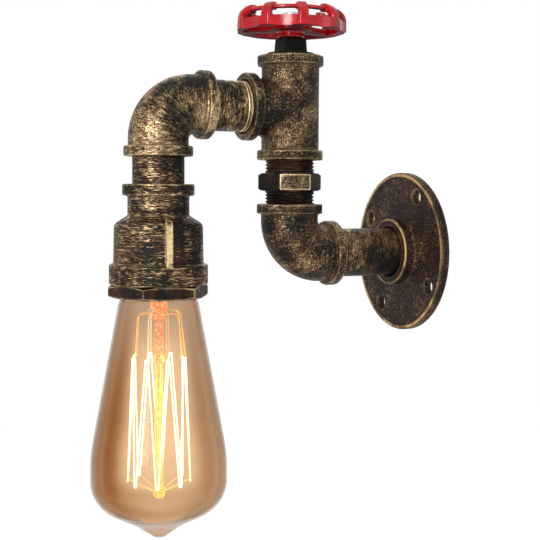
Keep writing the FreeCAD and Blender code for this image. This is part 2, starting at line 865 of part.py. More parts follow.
def lampholder_terminals():
    plates = []
    margin = (terminal_length - terminal_screw_offset) / 2
    for rivet_x in (contact_rivet_x, shell_rivet_x):
        corner = at_holder(rivet_x - margin, -terminal_width / 2, holder_top_z)
        plate = Part.makeBox(terminal_length, terminal_width, terminal_sheet, corner)
        hole = at_holder(rivet_x + terminal_screw_offset, terminal_screw_y, holder_top_z)
        plate = plate.cut(rod(terminal_screw_d / 2 + small_screw_gap, terminal_sheet, hole, UP))
        plates.append(plate)
    return Part.makeCompound(plates)


def terminal_screws():
    screws = []
    for x in terminal_screw_places():
        screw = turned(
            [
                (0, terminal_screw_clearance - terminal_screw_length, 0),
                (terminal_screw_d / 2, terminal_screw_clearance - terminal_screw_length, 0),
                (terminal_screw_d / 2, terminal_sheet, 0),
                (terminal_head_d / 2, terminal_sheet, 0),
                (terminal_head_d / 2, terminal_sheet + terminal_head_height, terminal_head_round),
                (0, terminal_sheet + terminal_head_height, 0),
            ],
            at_holder(x, terminal_screw_y, holder_top_z),
            UP,
        )
        screws.append(screw)
    return Part.makeCompound(screws)


def rounded_path(points, radii):
    """Open wire through points, each inner corner an arc of its own radius."""
    edges = []
    start = points[0]
    for i in range(1, len(points) - 1):
        corner = points[i]
        before = points[i - 1] - corner
        after = points[i + 1] - corner
        half = before.getAngle(after) / 2
        radius = radii[i - 1]
        setback = radius / math.tan(half)
        before.normalize()
        after.normalize()
        bisector = (before + after).normalize()
        middle = corner + bisector * (radius / math.sin(half) - radius)
        arc_start = corner + before * setback
        arc_end = corner + after * setback
        edges.append(Part.LineSegment(start, arc_start).toShape())
        edges.append(Part.Arc(arc_start, middle, arc_end).toShape())
        start = arc_end
    edges.append(Part.LineSegment(start, points[-1]).toShape())
    return Part.Wire(edges)


def tube_along(path, radius):
    first = path.Edges[0]
    start = first.valueAt(first.FirstParameter)
    direction = first.tangentAt(first.FirstParameter)
    profile = Part.Wire(Part.Circle(start, direction, radius).toShape())
    return path.makePipeShell([profile], True, False)


def pipe_lead(side, terminal_x):
    """Insulated lead from its terminal up the reducer nipple, along the pipe, to the flange's mouth."""
    x = side * lead_spacing / 2
    terminal_z = holder_top_z + terminal_sheet + lead_seat_gap
    nipple_foot_z = reducer_top_z - thread_engagement
    rise = (nipple_foot_z - terminal_z) / 3
    points = [
        at_holder(terminal_x, lead_y_at_terminal, terminal_z),
        at_holder(terminal_x, lead_y_at_terminal, terminal_z + rise),
        at_holder(x, 0, nipple_foot_z + 2 * rise),
        Vector(x, bulb_y, arm_z),
        Vector(x, riser_y, arm_z),
        Vector(x, riser_y, 0),
        Vector(x, -flange_mouth - lead_setback, 0),
    ]
    radii = [lead_small_bend, lead_small_bend, lead_bend, lead_bend, lead_bend]
    return tube_along(rounded_path(points, radii), lead_d / 2)


def bulb_cap():
    """Thin screw cap, open below for the neck and closed above by the insulator."""
    outer_r = cap_d / 2
    inner_r = outer_r - cap_sheet
    shell_top = cap_height - cap_insulator_height - cap_contact_height
    return turned(
        [
            (inner_r, 0, 0),
            (cap_rim_d / 2, 0, 0),
            (cap_rim_d / 2 - cap_rim_taper, cap_rim_height, cap_rim_round),
            (outer_r, cap_rim_height + cap_rim_slope, 0),
            (outer_r, shell_top - cap_top_bevel, cap_top_bevel),
            (outer_r - cap_top_inset, shell_top, 0),
            (outer_r - cap_top_inset, shell_top - cap_sheet, 0),
            (inner_r, shell_top - cap_top_bevel - cap_sheet, 0),
        ],
        bulb_axis(cap_rim_z),
        UP,
    )


def bulb_insulator():
    base = cap_height - cap_insulator_height - cap_contact_height
    top = cap_height - cap_contact_height - cap_contact_gap
    hole_r = lead_in_d / 2 + small_screw_gap
    return turned(
        [
            (hole_r, base - insulator_in_cap, 0),
            (cap_d / 2 - cap_top_inset - insulator_inset, base - insulator_in_cap, 0),
            (cap_d / 2 - cap_top_inset, base, 0),
            (cap_contact_d / 2 + insulator_inset, top, insulator_round),
            (hole_r, top, 0),
        ],
        bulb_axis(cap_rim_z),
        UP,
    )


def bulb_contact():
    return turned(
        [
            (0, 0, 0),
            (cap_contact_d / 2, 0, 0),
            (cap_contact_d / 2, cap_contact_edge, cap_contact_edge),
            (cap_contact_d / 2 - cap_contact_crown, cap_contact_height, cap_contact_round),
            (0, cap_contact_height, 0),
        ],
        bulb_axis(cap_tip_z - cap_contact_height),
        UP,
    )


def glass_outline():
    """Corners down the outside of the glass: (radius, height from the ring's lower face, corner radius)."""
    return [
        (glass_neck_d / 2, cap_above_ring + glass_in_cap, 0),
        (glass_neck_d / 2, glass_shoulder_rise, -glass_neck_round),
        (glass_shoulder_d / 2, 0, glass_shoulder_round),
        (glass_belly_d / 2, -glass_belly_top, glass_flank_round),
        (glass_belly_d / 2, -glass_belly_foot, glass_belly_round),
        (pip_root_d / 2, pip_height - glass_length, -pip_root_round),
        (pip_tip_d / 2, -glass_length, pip_round),
        (0, -glass_length, 0),
    ]


def inset(corners, thickness):
    """The same outline moved inwards; a hollow corner has a negative radius, and its arc grows."""
    moved = []
    last = len(corners) - 1
    for i, (radius, height, corner_radius) in enumerate(corners):
        normals = []
        for a, b in ((i - 1, i), (i, i + 1)):
            if a < 0 or b > last:
                continue
            run = Vector(corners[b][0] - corners[a][0], 0, corners[b][1] - corners[a][1]).normalize()
            normals.append(Vector(run.z, 0, -run.x))
        first, second = normals[0], normals[-1]
        shift = (first + second) * (thickness / (1 + first.dot(second)))
        kept = corner_radius - thickness if corner_radius else 0
        moved.append((radius + shift.x, height + shift.z, kept))
    return moved


def bulb_glass():
    """Blown shell: the outline turned, less the same outline a wall further in, open at the neck."""
    shells = []
    for corners in (glass_outline(), inset(glass_outline(), glass_thickness)):
        closed = [(radius, height, abs(corner)) for radius, height, corner in corners]
        closed.append((0, closed[0][1], 0))
        shells.append(turned(closed, bulb_axis(ring_bottom_z), UP))
    return shells[0].cut(shells[1])


def in_bulb(radius, turn, depth):
    """Point at a radius and a turn about the bulb's axis, below the ring's lower face."""
    angle = math.radians(turn)
    return Vector(radius * math.cos(angle), bulb_y + radius * math.sin(angle), ring_bottom_z - depth)


def bulb_stem():
    """Flare sealed to the neck, its hollow tube, the flat press and the centre rod with its beads."""
    neck_inner = glass_neck_d / 2 - glass_thickness - glass_gap
    tube_r = flare_tube_d / 2
    bore_r = flare_tube_bore / 2
    wall = tube_r - bore_r
    neck_top = cap_above_ring + glass_in_cap
    flare = turned(
        [
            (neck_inner - wall, neck_top, 0),
            (neck_inner, neck_top, 0),
            (neck_inner, neck_top - flare_rim_height, flare_rim_round),
            (tube_r, neck_top - flare_height, flare_root_round),
            (tube_r, -press_start - flare_floor, 0),
            (0, -press_start - flare_floor, 0),
            (0, -press_start, 0),
            (bore_r, -press_start, 0),
            (bore_r, neck_top - flare_height + flare_rim_round, flare_root_round),
        ],
        bulb_axis(ring_bottom_z),
        UP,
    )
    press_corner = Vector(-press_width / 2, bulb_y - press_thickness / 2, ring_bottom_z - press_end)
    press = Part.makeBox(press_width, press_thickness, press_end - press_start, press_corner)
    press = press.makeFillet(press_round, press.Edges)
    rod_start = press_end - rod_root
    centre_rod = rod(rod_d / 2, lower_button_depth - rod_start, in_bulb(0, 0, rod_start), DOWN)
    stem = flare.fuse([press, centre_rod])
    for depth in (button_depth, upper_bead_depth, lower_button_depth):
        stem = stem.fuse(Part.makeSphere(bead_d / 2, in_bulb(0, 0, depth)))
    for wire in lead_in_list():
        stem = stem.cut(wire)
    return stem


def from_button(depth, target):
    """Point on a button's surface, towards target."""
    centre = in_bulb(0, 0, depth)
    return centre + (target - centre).normalize() * (bead_d / 2)


def upper_support(turn):
    """Wire that leaves the upper button, arches over and comes down to its hook."""
    shoulder = in_bulb(upper_shoulder_radius, turn, upper_shoulder_depth)
    points = [
        from_button(button_depth, shoulder),
        shoulder,
        in_bulb(upper_heel_radius, turn, upper_hook_depth),
        in_bulb(upper_hook_radius + hook_tip, turn, upper_hook_depth),
    ]
    return tube_along(rounded_path(points, [upper_shoulder_bend, support_bend]), support_d / 2)


def lower_support(turn):
    """Wire that rises from the lower button to its hook."""
    heel = in_bulb(lower_hook_radius - hook_tip, turn, lower_hook_depth)
    points = [
        from_button(lower_button_depth, heel),
        heel,
        in_bulb(lower_hook_radius + hook_tip, turn, lower_hook_depth),
    ]
    return tube_along(rounded_path(points, [support_bend]), support_d / 2)


def hook_turn(step):
    """Direction of each hook in the order that the filament meets them, lower ones at even steps."""
    return filament_start_angle + 180 / hook_count * step


def upper_supports():
    return Part.makeCompound([upper_support(hook_turn(2 * k + 1)) for k in range(hook_count - 1)])


def lower_supports():
    return Part.makeCompound([lower_support(hook_turn(2 * k)) for k in range(hook_count)])


def filament_points():
    """Zigzag corners, set beyond the hooks so that the arcs in them are centred on the hooks."""
    half_pitch = math.radians(180 / hook_count)
    upper_shift = lower_hook_radius * math.sin(half_pitch)
    lower_shift = upper_hook_radius * math.sin(half_pitch)
    drop = lower_hook_depth - upper_hook_depth
    span = drop / (1 - filament_turn / upper_shift - filament_turn / lower_shift)
    upper_overrun = filament_turn * math.hypot(span, upper_shift) / upper_shift
    lower_overrun = filament_turn * math.hypot(span, lower_shift) / lower_shift
    last = 2 * hook_count - 2
    points = [in_bulb(upper_hook_radius, hook_turn(-filament_end_share), upper_hook_depth)]
    for step in range(last + 1):
        if step % 2 == 0:
            points.append(in_bulb(lower_hook_radius, hook_turn(step), lower_hook_depth + lower_overrun))
        else:
            points.append(in_bulb(upper_hook_radius, hook_turn(step), upper_hook_depth - upper_overrun))
    points.append(in_bulb(upper_hook_radius, hook_turn(last + filament_end_share), upper_hook_depth))
    return points


def filament_path():
    points = filament_points()
    return rounded_path(points, [filament_turn] * (len(points) - 2))


def filament():
    """One unbroken wire strung under the lower hooks and over the upper ones."""
    return tube_along(filament_path(), filament_d / 2)


def least_gap(path, thickness):
    """Least gap between stretches of a wire that aren't neighbours, measured on points along it."""
    points = path.discretize(Distance=gap_step)
    apart = math.ceil(gap_skip / gap_step)
    nearest = min(
        points[i].distanceToPoint(points[j])
        for i in range(len(points))
        for j in range(i + apart, len(points))
    )
    return nearest - thickness


def lead_in_list():
    """Two leads from the cap, down the hollow stem and through the press, to the filament's ends."""
    points = filament_points()
    leads = []
    for side, end in ((-1, points[0]), (1, points[-1])):
        x = side * lead_in_spacing / 2
        reach = end - in_bulb(0, 0, 0)
        shoulder = upper_shoulder_radius / upper_hook_radius
        route = [
            Vector(x, bulb_y, cap_rim_z + lead_in_top),
            Vector(x, bulb_y, ring_bottom_z - press_start - flare_floor),
            Vector(side * lead_in_spread / 2, bulb_y, ring_bottom_z - lead_in_press_depth),
            Vector(shoulder * reach.x, bulb_y + shoulder * reach.y, ring_bottom_z - upper_shoulder_depth),
            end,
        ]
        radii = [lead_in_small_bend, lead_in_small_bend, lead_in_bend]
        leads.append(tube_along(rounded_path(route, radii), lead_in_d / 2))
    return leads


def lead_in_wires():
    return Part.makeCompound(lead_in_list())


def build():
    return {
        "wall_flange": wall_flange(),
        "lower_nipple": nipple(
            Vector(0, hub_face_y, 0), OUT, lower_nipple_exposed,
            flange_edge + flange_hub_height - flange_mouth, thread_engagement,
        ),
        "lower_elbow": elbow(Vector(0, riser_y, 0), UP, BACK),
        "hex_nipple": hex_nipple(),
        "tee": tee(),
        "square_head_plug": square_head_plug(),
        "wheel_screw": wheel_screw(),
        "wheel_washer": wheel_washer(),
        "handwheel": handwheel(),
        "upper_nipple": nipple(
            Vector(0, tee_branch_y, arm_z), OUT, upper_nipple_exposed, thread_engagement, thread_engagement,
        ),
        "upper_elbow": elbow(Vector(0, bulb_y, arm_z), DOWN, BACK),
        "reducer_nipple": nipple(
            bulb_axis(reducer_top_z), UP, reducer_nipple_exposed, thread_engagement, thread_engagement,
        ),
        "reducer_coupling": reducer_coupling(),
        "hex_bushing": hex_bushing(),
        "lampholder_body": lampholder_body(),
        "lampholder_shell": lampholder_shell(),
        "lampholder_contact": lampholder_contact(),
        "lampholder_terminals": lampholder_terminals(),
        "terminal_screws": terminal_screws(),
        "live_wire": pipe_lead(1, terminal_screw_places()[0]),
        "neutral_wire": pipe_lead(-1, terminal_screw_places()[1]),
        "bulb_cap": bulb_cap(),
        "bulb_insulator": bulb_insulator(),
        "bulb_contact": bulb_contact(),
        "bulb_glass": bulb_glass(),
        "bulb_stem": bulb_stem(),
        "upper_supports": upper_supports(),
        "lower_supports": lower_supports(),
        "lead_in_wires": lead_in_wires(),
        "filament": filament(),
    }


os.makedirs("parts", exist_ok=True)
for name, shape in build().items():
    shape.exportStep("parts/" + name + ".step")
    print(name, "solids", len(shape.Solids), "valid", shape.isValid(), "volume", round(shape.Volume, 1))
print("filament's least gap to itself", round(least_gap(filament_path(), filament_d), 2))
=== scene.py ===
import math

import bmesh
import bpy
from mathutils import Matrix, Vector


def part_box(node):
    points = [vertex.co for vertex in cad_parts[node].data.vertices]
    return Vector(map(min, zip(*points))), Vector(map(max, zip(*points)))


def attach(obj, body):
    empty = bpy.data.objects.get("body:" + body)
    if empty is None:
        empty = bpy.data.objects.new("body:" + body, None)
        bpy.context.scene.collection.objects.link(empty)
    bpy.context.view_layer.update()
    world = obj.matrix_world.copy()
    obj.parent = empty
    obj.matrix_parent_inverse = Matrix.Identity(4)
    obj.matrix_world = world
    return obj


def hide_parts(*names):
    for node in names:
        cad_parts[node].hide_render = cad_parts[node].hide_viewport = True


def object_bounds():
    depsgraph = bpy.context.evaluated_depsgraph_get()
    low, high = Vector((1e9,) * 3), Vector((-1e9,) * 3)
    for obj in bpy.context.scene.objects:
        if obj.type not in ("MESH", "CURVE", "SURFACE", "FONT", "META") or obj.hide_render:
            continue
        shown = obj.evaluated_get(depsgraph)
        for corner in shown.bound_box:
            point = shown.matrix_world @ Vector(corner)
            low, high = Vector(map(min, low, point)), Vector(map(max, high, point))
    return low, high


# Looks of the pipe wall light. Lengths are in metres and angles in degrees, in the frame's own axes:
# the wall is the plane Y = 0, the arm reaches towards -Y and +Z is up.

MM = 0.001


def rgb(red, green, blue):
    return (red, green, blue, 1.0)


# ---- camera, fitted to the collars, the flange and the bulb in the photograph ----
camera_place = Vector((0.52185, -0.33226, 0.03483))
camera_azimuth = 64.771
camera_elevation = 4.312
camera_roll = 0.328
camera_lens = 70.77
camera_near = 0.01
sensor_width = 36.0

# ---- light: azimuth from the camera's, elevation, distance, (width, height) and power of each box ----
soft_boxes = {
    "key_lamp": (-20, 11, 1.1, (0.22, 0.60), 9.5),
    "fill_lamp": (55, 18, 1.3, (0.4, 0.8), 2.0),
    "back_lamp": (180, 35, 1.4, (0.9, 0.6), 2.0),
    "top_lamp": (0, 80, 1.2, (0.7, 0.7), 1.5),
}
world_tint = rgb(0.95, 0.97, 1.0)
world_strength = 0.11

# ---- floor ----
floor_height = -0.36
floor_radius = 1.2
floor_segments = 64
floor_tint = rgb(0.82, 0.82, 0.81)
floor_roughness = 0.8
floor_white = 0.79          # white that the camera sees on the floor beside its own light and shadow

# ---- threads and hexagon of the hex nipple ----
thread_pitch = 1.814 * MM
thread_depth = 1.05 * MM
thread_rows = 10            # rows of the mesh in one turn of the thread
thread_runout = 1.6 * MM    # the thread fades out over this length
thread_crest = 0.8          # power that widens the grooves and leaves narrow crests
end_lip = 0.1 * MM          # plain end of a threaded length
pipe_radius = 13.45 * MM
hex_flats = 30.2 * MM
hex_height = 9.6 * MM
hex_angle = -45.0
hex_chamfer = 1.1 * MM
hex_chamfer_rows = 4
hex_flank = 0.17 * MM       # the chamfer's circle stands this far outside the flats
hex_bore = 9.5 * MM
round_columns = 144
sharp_edge = 35.0           # edges that turn more than this aren't shaded smooth
plate_width = 16.6 * MM
plate_height = 8.4 * MM
plate_proud = 0.35 * MM
plate_sunk = 0.4 * MM
plate_round = 0.7 * MM
plate_bevel = 0.12 * MM

# ---- upper nipple: its thread shows at the tee's end ----
nipple_bore = 10.55 * MM
nipple_thread_shown = 3.4 * MM
nipple_engagement = 10.5 * MM
nipple_thread_depth = 0.8 * MM
nipple_plain_start = 0.5 * MM
nipple_plain_rows = 8

# ---- filament, wound between the hooks of the bulb's cage ----
hook_count = 8
hook_start = 112.5
upper_hook_radius = 14.2 * MM
upper_hook_depth = 32.0 * MM
lower_hook_radius = 16.4 * MM
lower_hook_depth = 96.8 * MM
hook_turn_radius = 0.65 * MM
end_share = 0.6             # how far towards the next upper hook each end of the wire goes
coil_radius = 0.40 * MM     # the drawn wire is itself a fine coil, this thick
coil_facets = 3

# ---- noises of the finishes: scale, detail and roughness ----
grain_noise = (1900.0, 3.0, 0.75)
lump_noise = (620.0, 2.0, 0.6)
patch_noise = (60.0, 3.0, 0.6)
brush_noise = (3000.0, 4.0, 0.62)
broad_brush_noise = (520.0, 2.0, 0.5)
usual_noise = (0.3, 0.7)    # nearly all of a noise's values lie between these
middle_noise = (0.35, 0.65)
brush_squeeze = 0.10        # strokes are this much narrower than long
bend_squeeze = 0.022        # the same for strokes that follow a bend, by its angle

# ---- soft edges, and painted shade in cavities ----
soft_samples = 6
edge_agreement = (0.995, 0.88)      # the rounded normal's agreement where an edge starts and is full
# painted shade: it fades in between these shares of open sky
cavity_light = (0.35, 0.85)         # share of open sky at the bottom of a cavity and on open ground

# ---- bronze of the fittings ----
bronze_ground = rgb(0.0035, 0.0032, 0.0028)
bronze_ground_warm = rgb(0.028, 0.012, 0.007)
gold_thin = rgb(0.150, 0.106, 0.048)
gold_thin_warm = rgb(0.190, 0.108, 0.055)
gold_bright = rgb(0.82, 0.62, 0.33)
broad_share = 0.3           # of the streaks
lump_share = 0.2            # of the speckle
patch_share = 0.36
paint_offset = 0.045        # more of it leaves less gold everywhere
gold_reach = 0.3            # how much a step in gold moves the paint's threshold
cover_band = (-0.075, 0.055)
bright_band = (-0.010, 0.150)
warm_band = (0.58, 0.72)    # of the broad patches, where the ground turns red-brown
warm_lumps = 0.3
bronze_cavity = 4.5 * MM
bare_metal = 0.02           # metallic share without gold
gold_metal = 0.50           # more of it under thin gold
bright_metal = 0.25         # and more again under thick gold
bare_dulling = 0.10         # the bare ground is this much rougher than the figure given
gold_polish = 0.09          # thin gold is this much smoother
bright_polish = 0.06        # and thick gold smoother again
bronze_specular = 0.12
brush_relief = 0.6          # of the streaks
lump_relief = 1.6           # of the speckle
relief_strength = 0.7
cast_relief = 0.3 * MM

# ---- cast ribs of the reducer, as heights and angles of its paint ----
rib_angle = -6.0
rib_half_turn = 0.052
rib_top = 16.0 * MM
rib_top_fade = 1.5 * MM
rib_foot = -3.8 * MM
rib_foot_fade = 1.0 * MM
rib_gold = 0.17
rib_fade = 1.25             # the gold ends this many half turns off the rib
field_start = (1.2, 2.2)    # the bare field starts and is full, in half turns off the rib
field_end = 0.20
field_fade = 0.12
field_bare = 0.11

# ---- wall flange: dark ground with glitter, gold left on its rims ----
flange_ground = rgb(0.0030, 0.0026, 0.0024)
flange_red = rgb(0.052, 0.022, 0.015)
flange_glitter = rgb(0.42, 0.27, 0.15)
flange_gold = rgb(0.60, 0.40, 0.17)
flange_front = -5.0 * MM
flange_rim_inset = 1.3 * MM
flange_rim_width = 1.5 * MM
flange_rim_reach = 1.2 * MM
hub_radius = 18.8 * MM
hub_rim_inset = 0.6 * MM
hub_rim_width = 1.1 * MM
hub_rim_reach = 0.6 * MM
rim_reach_fade = 0.8 * MM
ring_softness = (0.35, 0.65)        # a ring's line fades between these shares of its width
flange_edge = 1.6 * MM
flange_cavity = 4.0 * MM
# painted shade in the flange's holes and hollows
flange_hollow_shade = rgb(0.003, 0.003, 0.003)
flange_red_band = (0.57, 0.70)      # of the grain and a little of the patches
flange_red_patch = 0.2
flange_glitter_band = (0.71, 0.78)
flange_glitter_patch = 0.25
rim_worn_band = (0.58, 0.76)        # of the patches and lumps, where the rims keep their gold
rim_worn_lumps = 0.4
rim_worn_least = 0.25
flange_metal = 0.4
flange_shine = (0.55, 0.4)          # roughness of the ground and of the gold

# ---- plug: black paint ----
plug_grain_noise = (900.0, 4.0, 0.7)
plug_patch_noise = (120.0, 2.0, 0.5)
plug_edge = 0.7 * MM
plug_cavity = 3.0 * MM
plug_black = rgb(0.005, 0.005, 0.0045)
plug_grey = rgb(0.024, 0.022, 0.017)
plug_worn = rgb(0.11, 0.085, 0.05)
# painted shade in the plug's hollows
plug_hollow_shade = rgb(0.002, 0.002, 0.002)
plug_grey_band = (0.5, 0.72)        # of the grain
plug_worn_band = (0.5, 0.62)        # of the patches, where the edges are worn
plug_shine = (0.5, 0.68)
plug_relief_strength = 0.6
plug_specular = 0.08

# ---- handwheel: red enamel ----
wheel_swell_noise = (160.0, 2.0, 0.5)
wheel_grain_noise = (900.0, 2.0, 0.5)
wheel_chip_noise = (210.0, 4.0, 0.75)
wheel_edge = 0.6 * MM
wheel_cavity = 3.5 * MM
wheel_red_deep = rgb(0.46, 0.0035, 0.008)
wheel_red = rgb(0.60, 0.0055, 0.013)
# painted shade in the wheel's hollows
wheel_hollow_shade = rgb(0.10, 0.001, 0.002)
wheel_underside_shade = rgb(0.11, 0.0012, 0.003)      # painted shade on the underside
wheel_underside_span = (-0.75, -0.35)           # the normal's Z where it is full and where it ends
wheel_under_roughness = 0.7
wheel_chip = rgb(0.05, 0.03, 0.02)
wheel_chip_band = (0.70, 0.74)
wheel_shine = (0.14, 0.22)
wheel_specular = 0.34
wheel_grain_relief = 0.12   # the grain's height against the swell's
wheel_relief = (0.35, 0.5 * MM)

# ---- elbows: the brush follows the bend ----
bend_inset = 8.7 * MM       # the bend's pivot lies this far inside a corner of the elbow's box

# ---- small parts; a relief is its strength and its depth ----
tool_mark_noise = (2400.0, 3.0, 0.6)
tool_mark_squeeze = (0.2, 0.2, 1.0)
tool_mark_dulling = 0.15
tool_mark_metal = 0.95
tool_mark_relief = (0.25, 0.08 * MM)
tarnish_noise = (260.0, 3.0, 0.6)
tarnish_band = (0.42, 0.68)
zinc = rgb(0.62, 0.62, 0.6)
zinc_dull = rgb(0.60, 0.60, 0.58)
zinc_tarnish = rgb(0.42, 0.41, 0.38)
screw_tarnish = rgb(0.45, 0.44, 0.42)
holder_brass = rgb(0.72, 0.55, 0.27)
holder_brass_tarnish = rgb(0.55, 0.40, 0.2)
cap_brass = rgb(0.72, 0.58, 0.34)
cap_brass_tarnish = rgb(0.6, 0.46, 0.24)
solder = rgb(0.62, 0.62, 0.62)
solder_tarnish = rgb(0.48, 0.48, 0.5)
glaze = rgb(0.80, 0.77, 0.70)
glaze_speck = rgb(0.66, 0.62, 0.54)
glaze_speck_noise = (800.0, 2.0, 0.6)
glaze_speck_band = (0.55, 0.75)
glaze_wave_noise = (120.0, 2.0, 0.5)
glaze_shine = (0.16, 0.3)
glaze_relief = (0.2, 0.2 * MM)
live_brown = rgb(0.20, 0.09, 0.04)
live_brown_pale = rgb(0.26, 0.12, 0.06)
neutral_blue = rgb(0.03, 0.13, 0.42)
neutral_blue_pale = rgb(0.05, 0.18, 0.50)
sheath_noise = (1500.0, 2.0, 0.5)
sheath_roughness = 0.5
sheath_relief = (0.2, 0.05 * MM)
insulator_black = rgb(0.012, 0.012, 0.016)
insulator_grey = rgb(0.03, 0.03, 0.05)
insulator_noise = (600.0, 2.0, 0.5)
insulator_band = (0.4, 0.7)
insulator_roughness = 0.12
insulator_relief = (0.15, 0.1 * MM)

# ---- the coat dulls the bulb's reflections, so its index is lower than plain glass has ----
glass_index = 1.13
coat_glow = 0.10            # light of the filament that the smoky coat scatters
coat_glow_tint = rgb(1.0, 0.72, 0.46)
coat_side = Vector((-0.426, -0.905, 0.0))     # the strip is deeper towards this side, the camera's left
coat_wave_noise = (60.0, 2.0, 0.5)
coat_wave_squeeze = (1.0, 1.0, 0.35)
coat_wave_relief = (0.04, 0.4 * MM)
coat_belly = (rgb(0.76, 0.60, 0.44), rgb(0.79, 0.63, 0.47))     # in the waves' hollows and on top
coat_strip_pale = rgb(0.62, 0.45, 0.31)
coat_strip_deep = rgb(0.52, 0.31, 0.16)
coat_neck_tint = rgb(0.68, 0.56, 0.46)
coat_pip_tint = rgb(0.82, 0.64, 0.47)
coat_side_span = (-0.010, 0.024)    # from the pale to the deep strip, along that side from the axis
coat_strip = (0.10, 0.30, 0.36, 0.54)   # facing where the deep strip rises and falls
coat_neck = (0.060, 0.020)          # starts above the glass's foot and is full above its top
coat_pip = (0.004, 0.020)           # heights above the glass's foot
coat_lit_foot = (0.022, 0.045)
coat_lit_top = (0.045, 0.020)       # depths below the glass's top
coat_lit_facing = (0.02, 0.26)
coat_rims = (                       # facing where each tint starts and is full, towards the outline
    (0.44, 0.60, rgb(0.50, 0.385, 0.285)),
    (0.66, 0.80, rgb(0.33, 0.22, 0.15)),
    (0.80, 0.92, rgb(0.18, 0.12, 0.08)),
)
stem_glow_span = (0.050, 0.018)      # depths below the ring between the yellow rod and the press
stem_seed_noise = (520.0, 4.0, 0.7)
stem_clear = rgb(1.0, 0.86, 0.68)
stem_seed = rgb(0.80, 0.36, 0.22)
stem_seed_band = (0.4, 0.65)
stem_seed_relief = (0.4, 0.3 * MM)
stem_roughness = 0.12
stem_index = 1.45
stem_clearness = 0.85
stem_rod_glow = rgb(1.0, 0.62, 0.12)
stem_press_band = (0.42, 0.60)
stem_press_glow = (rgb(0.34, 0.10, 0.05), rgb(1.0, 0.50, 0.28))     # in the seeds and between them
stem_glow = 0.6
filament_noise = (90.0, 2.0, 0.5)
filament_body = rgb(0.25, 0.2, 0.15)
filament_metal = 0.6
filament_roughness = 0.5
filament_heat = (rgb(1.0, 0.80, 0.46), rgb(1.0, 0.90, 0.66))
filament_rim = rgb(0.40, 0.12, 0.05)
filament_rim_facing = (0.35, 0.8)
filament_power = 8.0
support_noise = (140.0, 2.0, 0.5)
support_band = (0.4, 0.6)
support_colours = (rgb(0.72, 0.52, 0.28), rgb(0.80, 0.66, 0.44))
support_metal = 0.9
support_roughness = 0.3
support_tint = rgb(1.0, 0.62, 0.22)
support_glow = 0.8

cad = {}                    # places read from the frame


# ---------------------------------------------------------------- node graphs
class Graph:
    """A material's node tree, with short calls for the nodes used here."""

    def __init__(self, name):
        self.material = bpy.data.materials.new(name)
        self.material.use_nodes = True
        self.tree = self.material.node_tree
        self.shader = self.tree.nodes["Principled BSDF"]

    def node(self, kind, **settings):
        made = self.tree.nodes.new(kind)
        for key, value in settings.items():
            setattr(made, key, value)
        return made

    def feed(self, socket, value):
        """Links value to the socket if it is an output, and otherwise sets it as a constant."""
        if isinstance(value, bpy.types.NodeSocket):
            self.tree.links.new(value, socket)
        else:
            socket.default_value = value

    def math(self, operation, *values):
        made = self.node("ShaderNodeMath", operation=operation)
        for socket, value in zip(made.inputs, values):
            self.feed(socket, value)
        return made.outputs[0]

    def product(self, first, *others):
        for value in others:
            first = self.math("MULTIPLY", first, value)
        return first

    def weigh(self, *parts):
        """Sum of the (value, weight) pairs."""
        total = self.math("MULTIPLY", *parts[0])
        for value, weight in parts[1:]:
            total = self.math("ADD", total, self.math("MULTIPLY", value, weight))
        return total

    def vector(self, operation, a, b):
        made = self.node("ShaderNodeVectorMath", operation=operation)
        self.feed(made.inputs[0], a)
        self.feed(made.inputs[1], b)
        return made.outputs["Value"] if operation == "DOT_PRODUCT" else made.outputs["Vector"]

    def axes(self, vector):
        """X, Y and Z of the vector."""
        split = self.node("ShaderNodeSeparateXYZ")
        self.feed(split.inputs[0], vector)
        return split.outputs["X"], split.outputs["Y"], split.outputs["Z"]

    def span(self, value, low, high, start=0.0, end=1.0):
        """value carried smoothly from low..high to start..end."""
        made = self.node("ShaderNodeMapRange", interpolation_type="SMOOTHSTEP")
        self.feed(made.inputs["Value"], value)
        for socket, number in (("From Min", low), ("From Max", high), ("To Min", start), ("To Max", end)):
            self.feed(made.inputs[socket], number)
        return made.outputs["Result"]

    def place(self):
        return self.node("ShaderNodeTexCoord").outputs["Object"]

    def facing(self):
        """0 where the surface looks at the camera, 1 at its outline."""
        weight = self.node("ShaderNodeLayerWeight")
        weight.inputs["Blend"].default_value = 0.5
        return weight.outputs["Facing"]

    def noise(self, vector, scale, detail, roughness):
        made = self.node("ShaderNodeTexNoise")
        self.feed(made.inputs["Vector"], vector)
        self.feed(made.inputs["Scale"], scale)
        self.feed(made.inputs["Detail"], detail)
        self.feed(made.inputs["Roughness"], roughness)
        return made.outputs["Fac"]

    def blend(self, share, a, b):
        """Colour a where share is 0 and colour b where it is 1."""
        made = self.node("ShaderNodeMix", data_type="RGBA")
        self.feed(made.inputs["Factor"], share)
        self.feed(made.inputs[6], a)
        self.feed(made.inputs[7], b)
        return made.outputs[2]

    def bump(self, height, strength, distance):
        made = self.node("ShaderNodeBump")
        self.feed(made.inputs["Height"], height)
        self.feed(made.inputs["Strength"], strength)
        self.feed(made.inputs["Distance"], distance)
        self.feed(self.shader.inputs["Normal"], made.outputs["Normal"])

    def set(self, **values):
        """Sets or links the shader's sockets, such as set(Base_Color=..., Roughness=...)."""
        for key, value in values.items():
            self.feed(self.shader.inputs[key.replace("_", " ")], value)


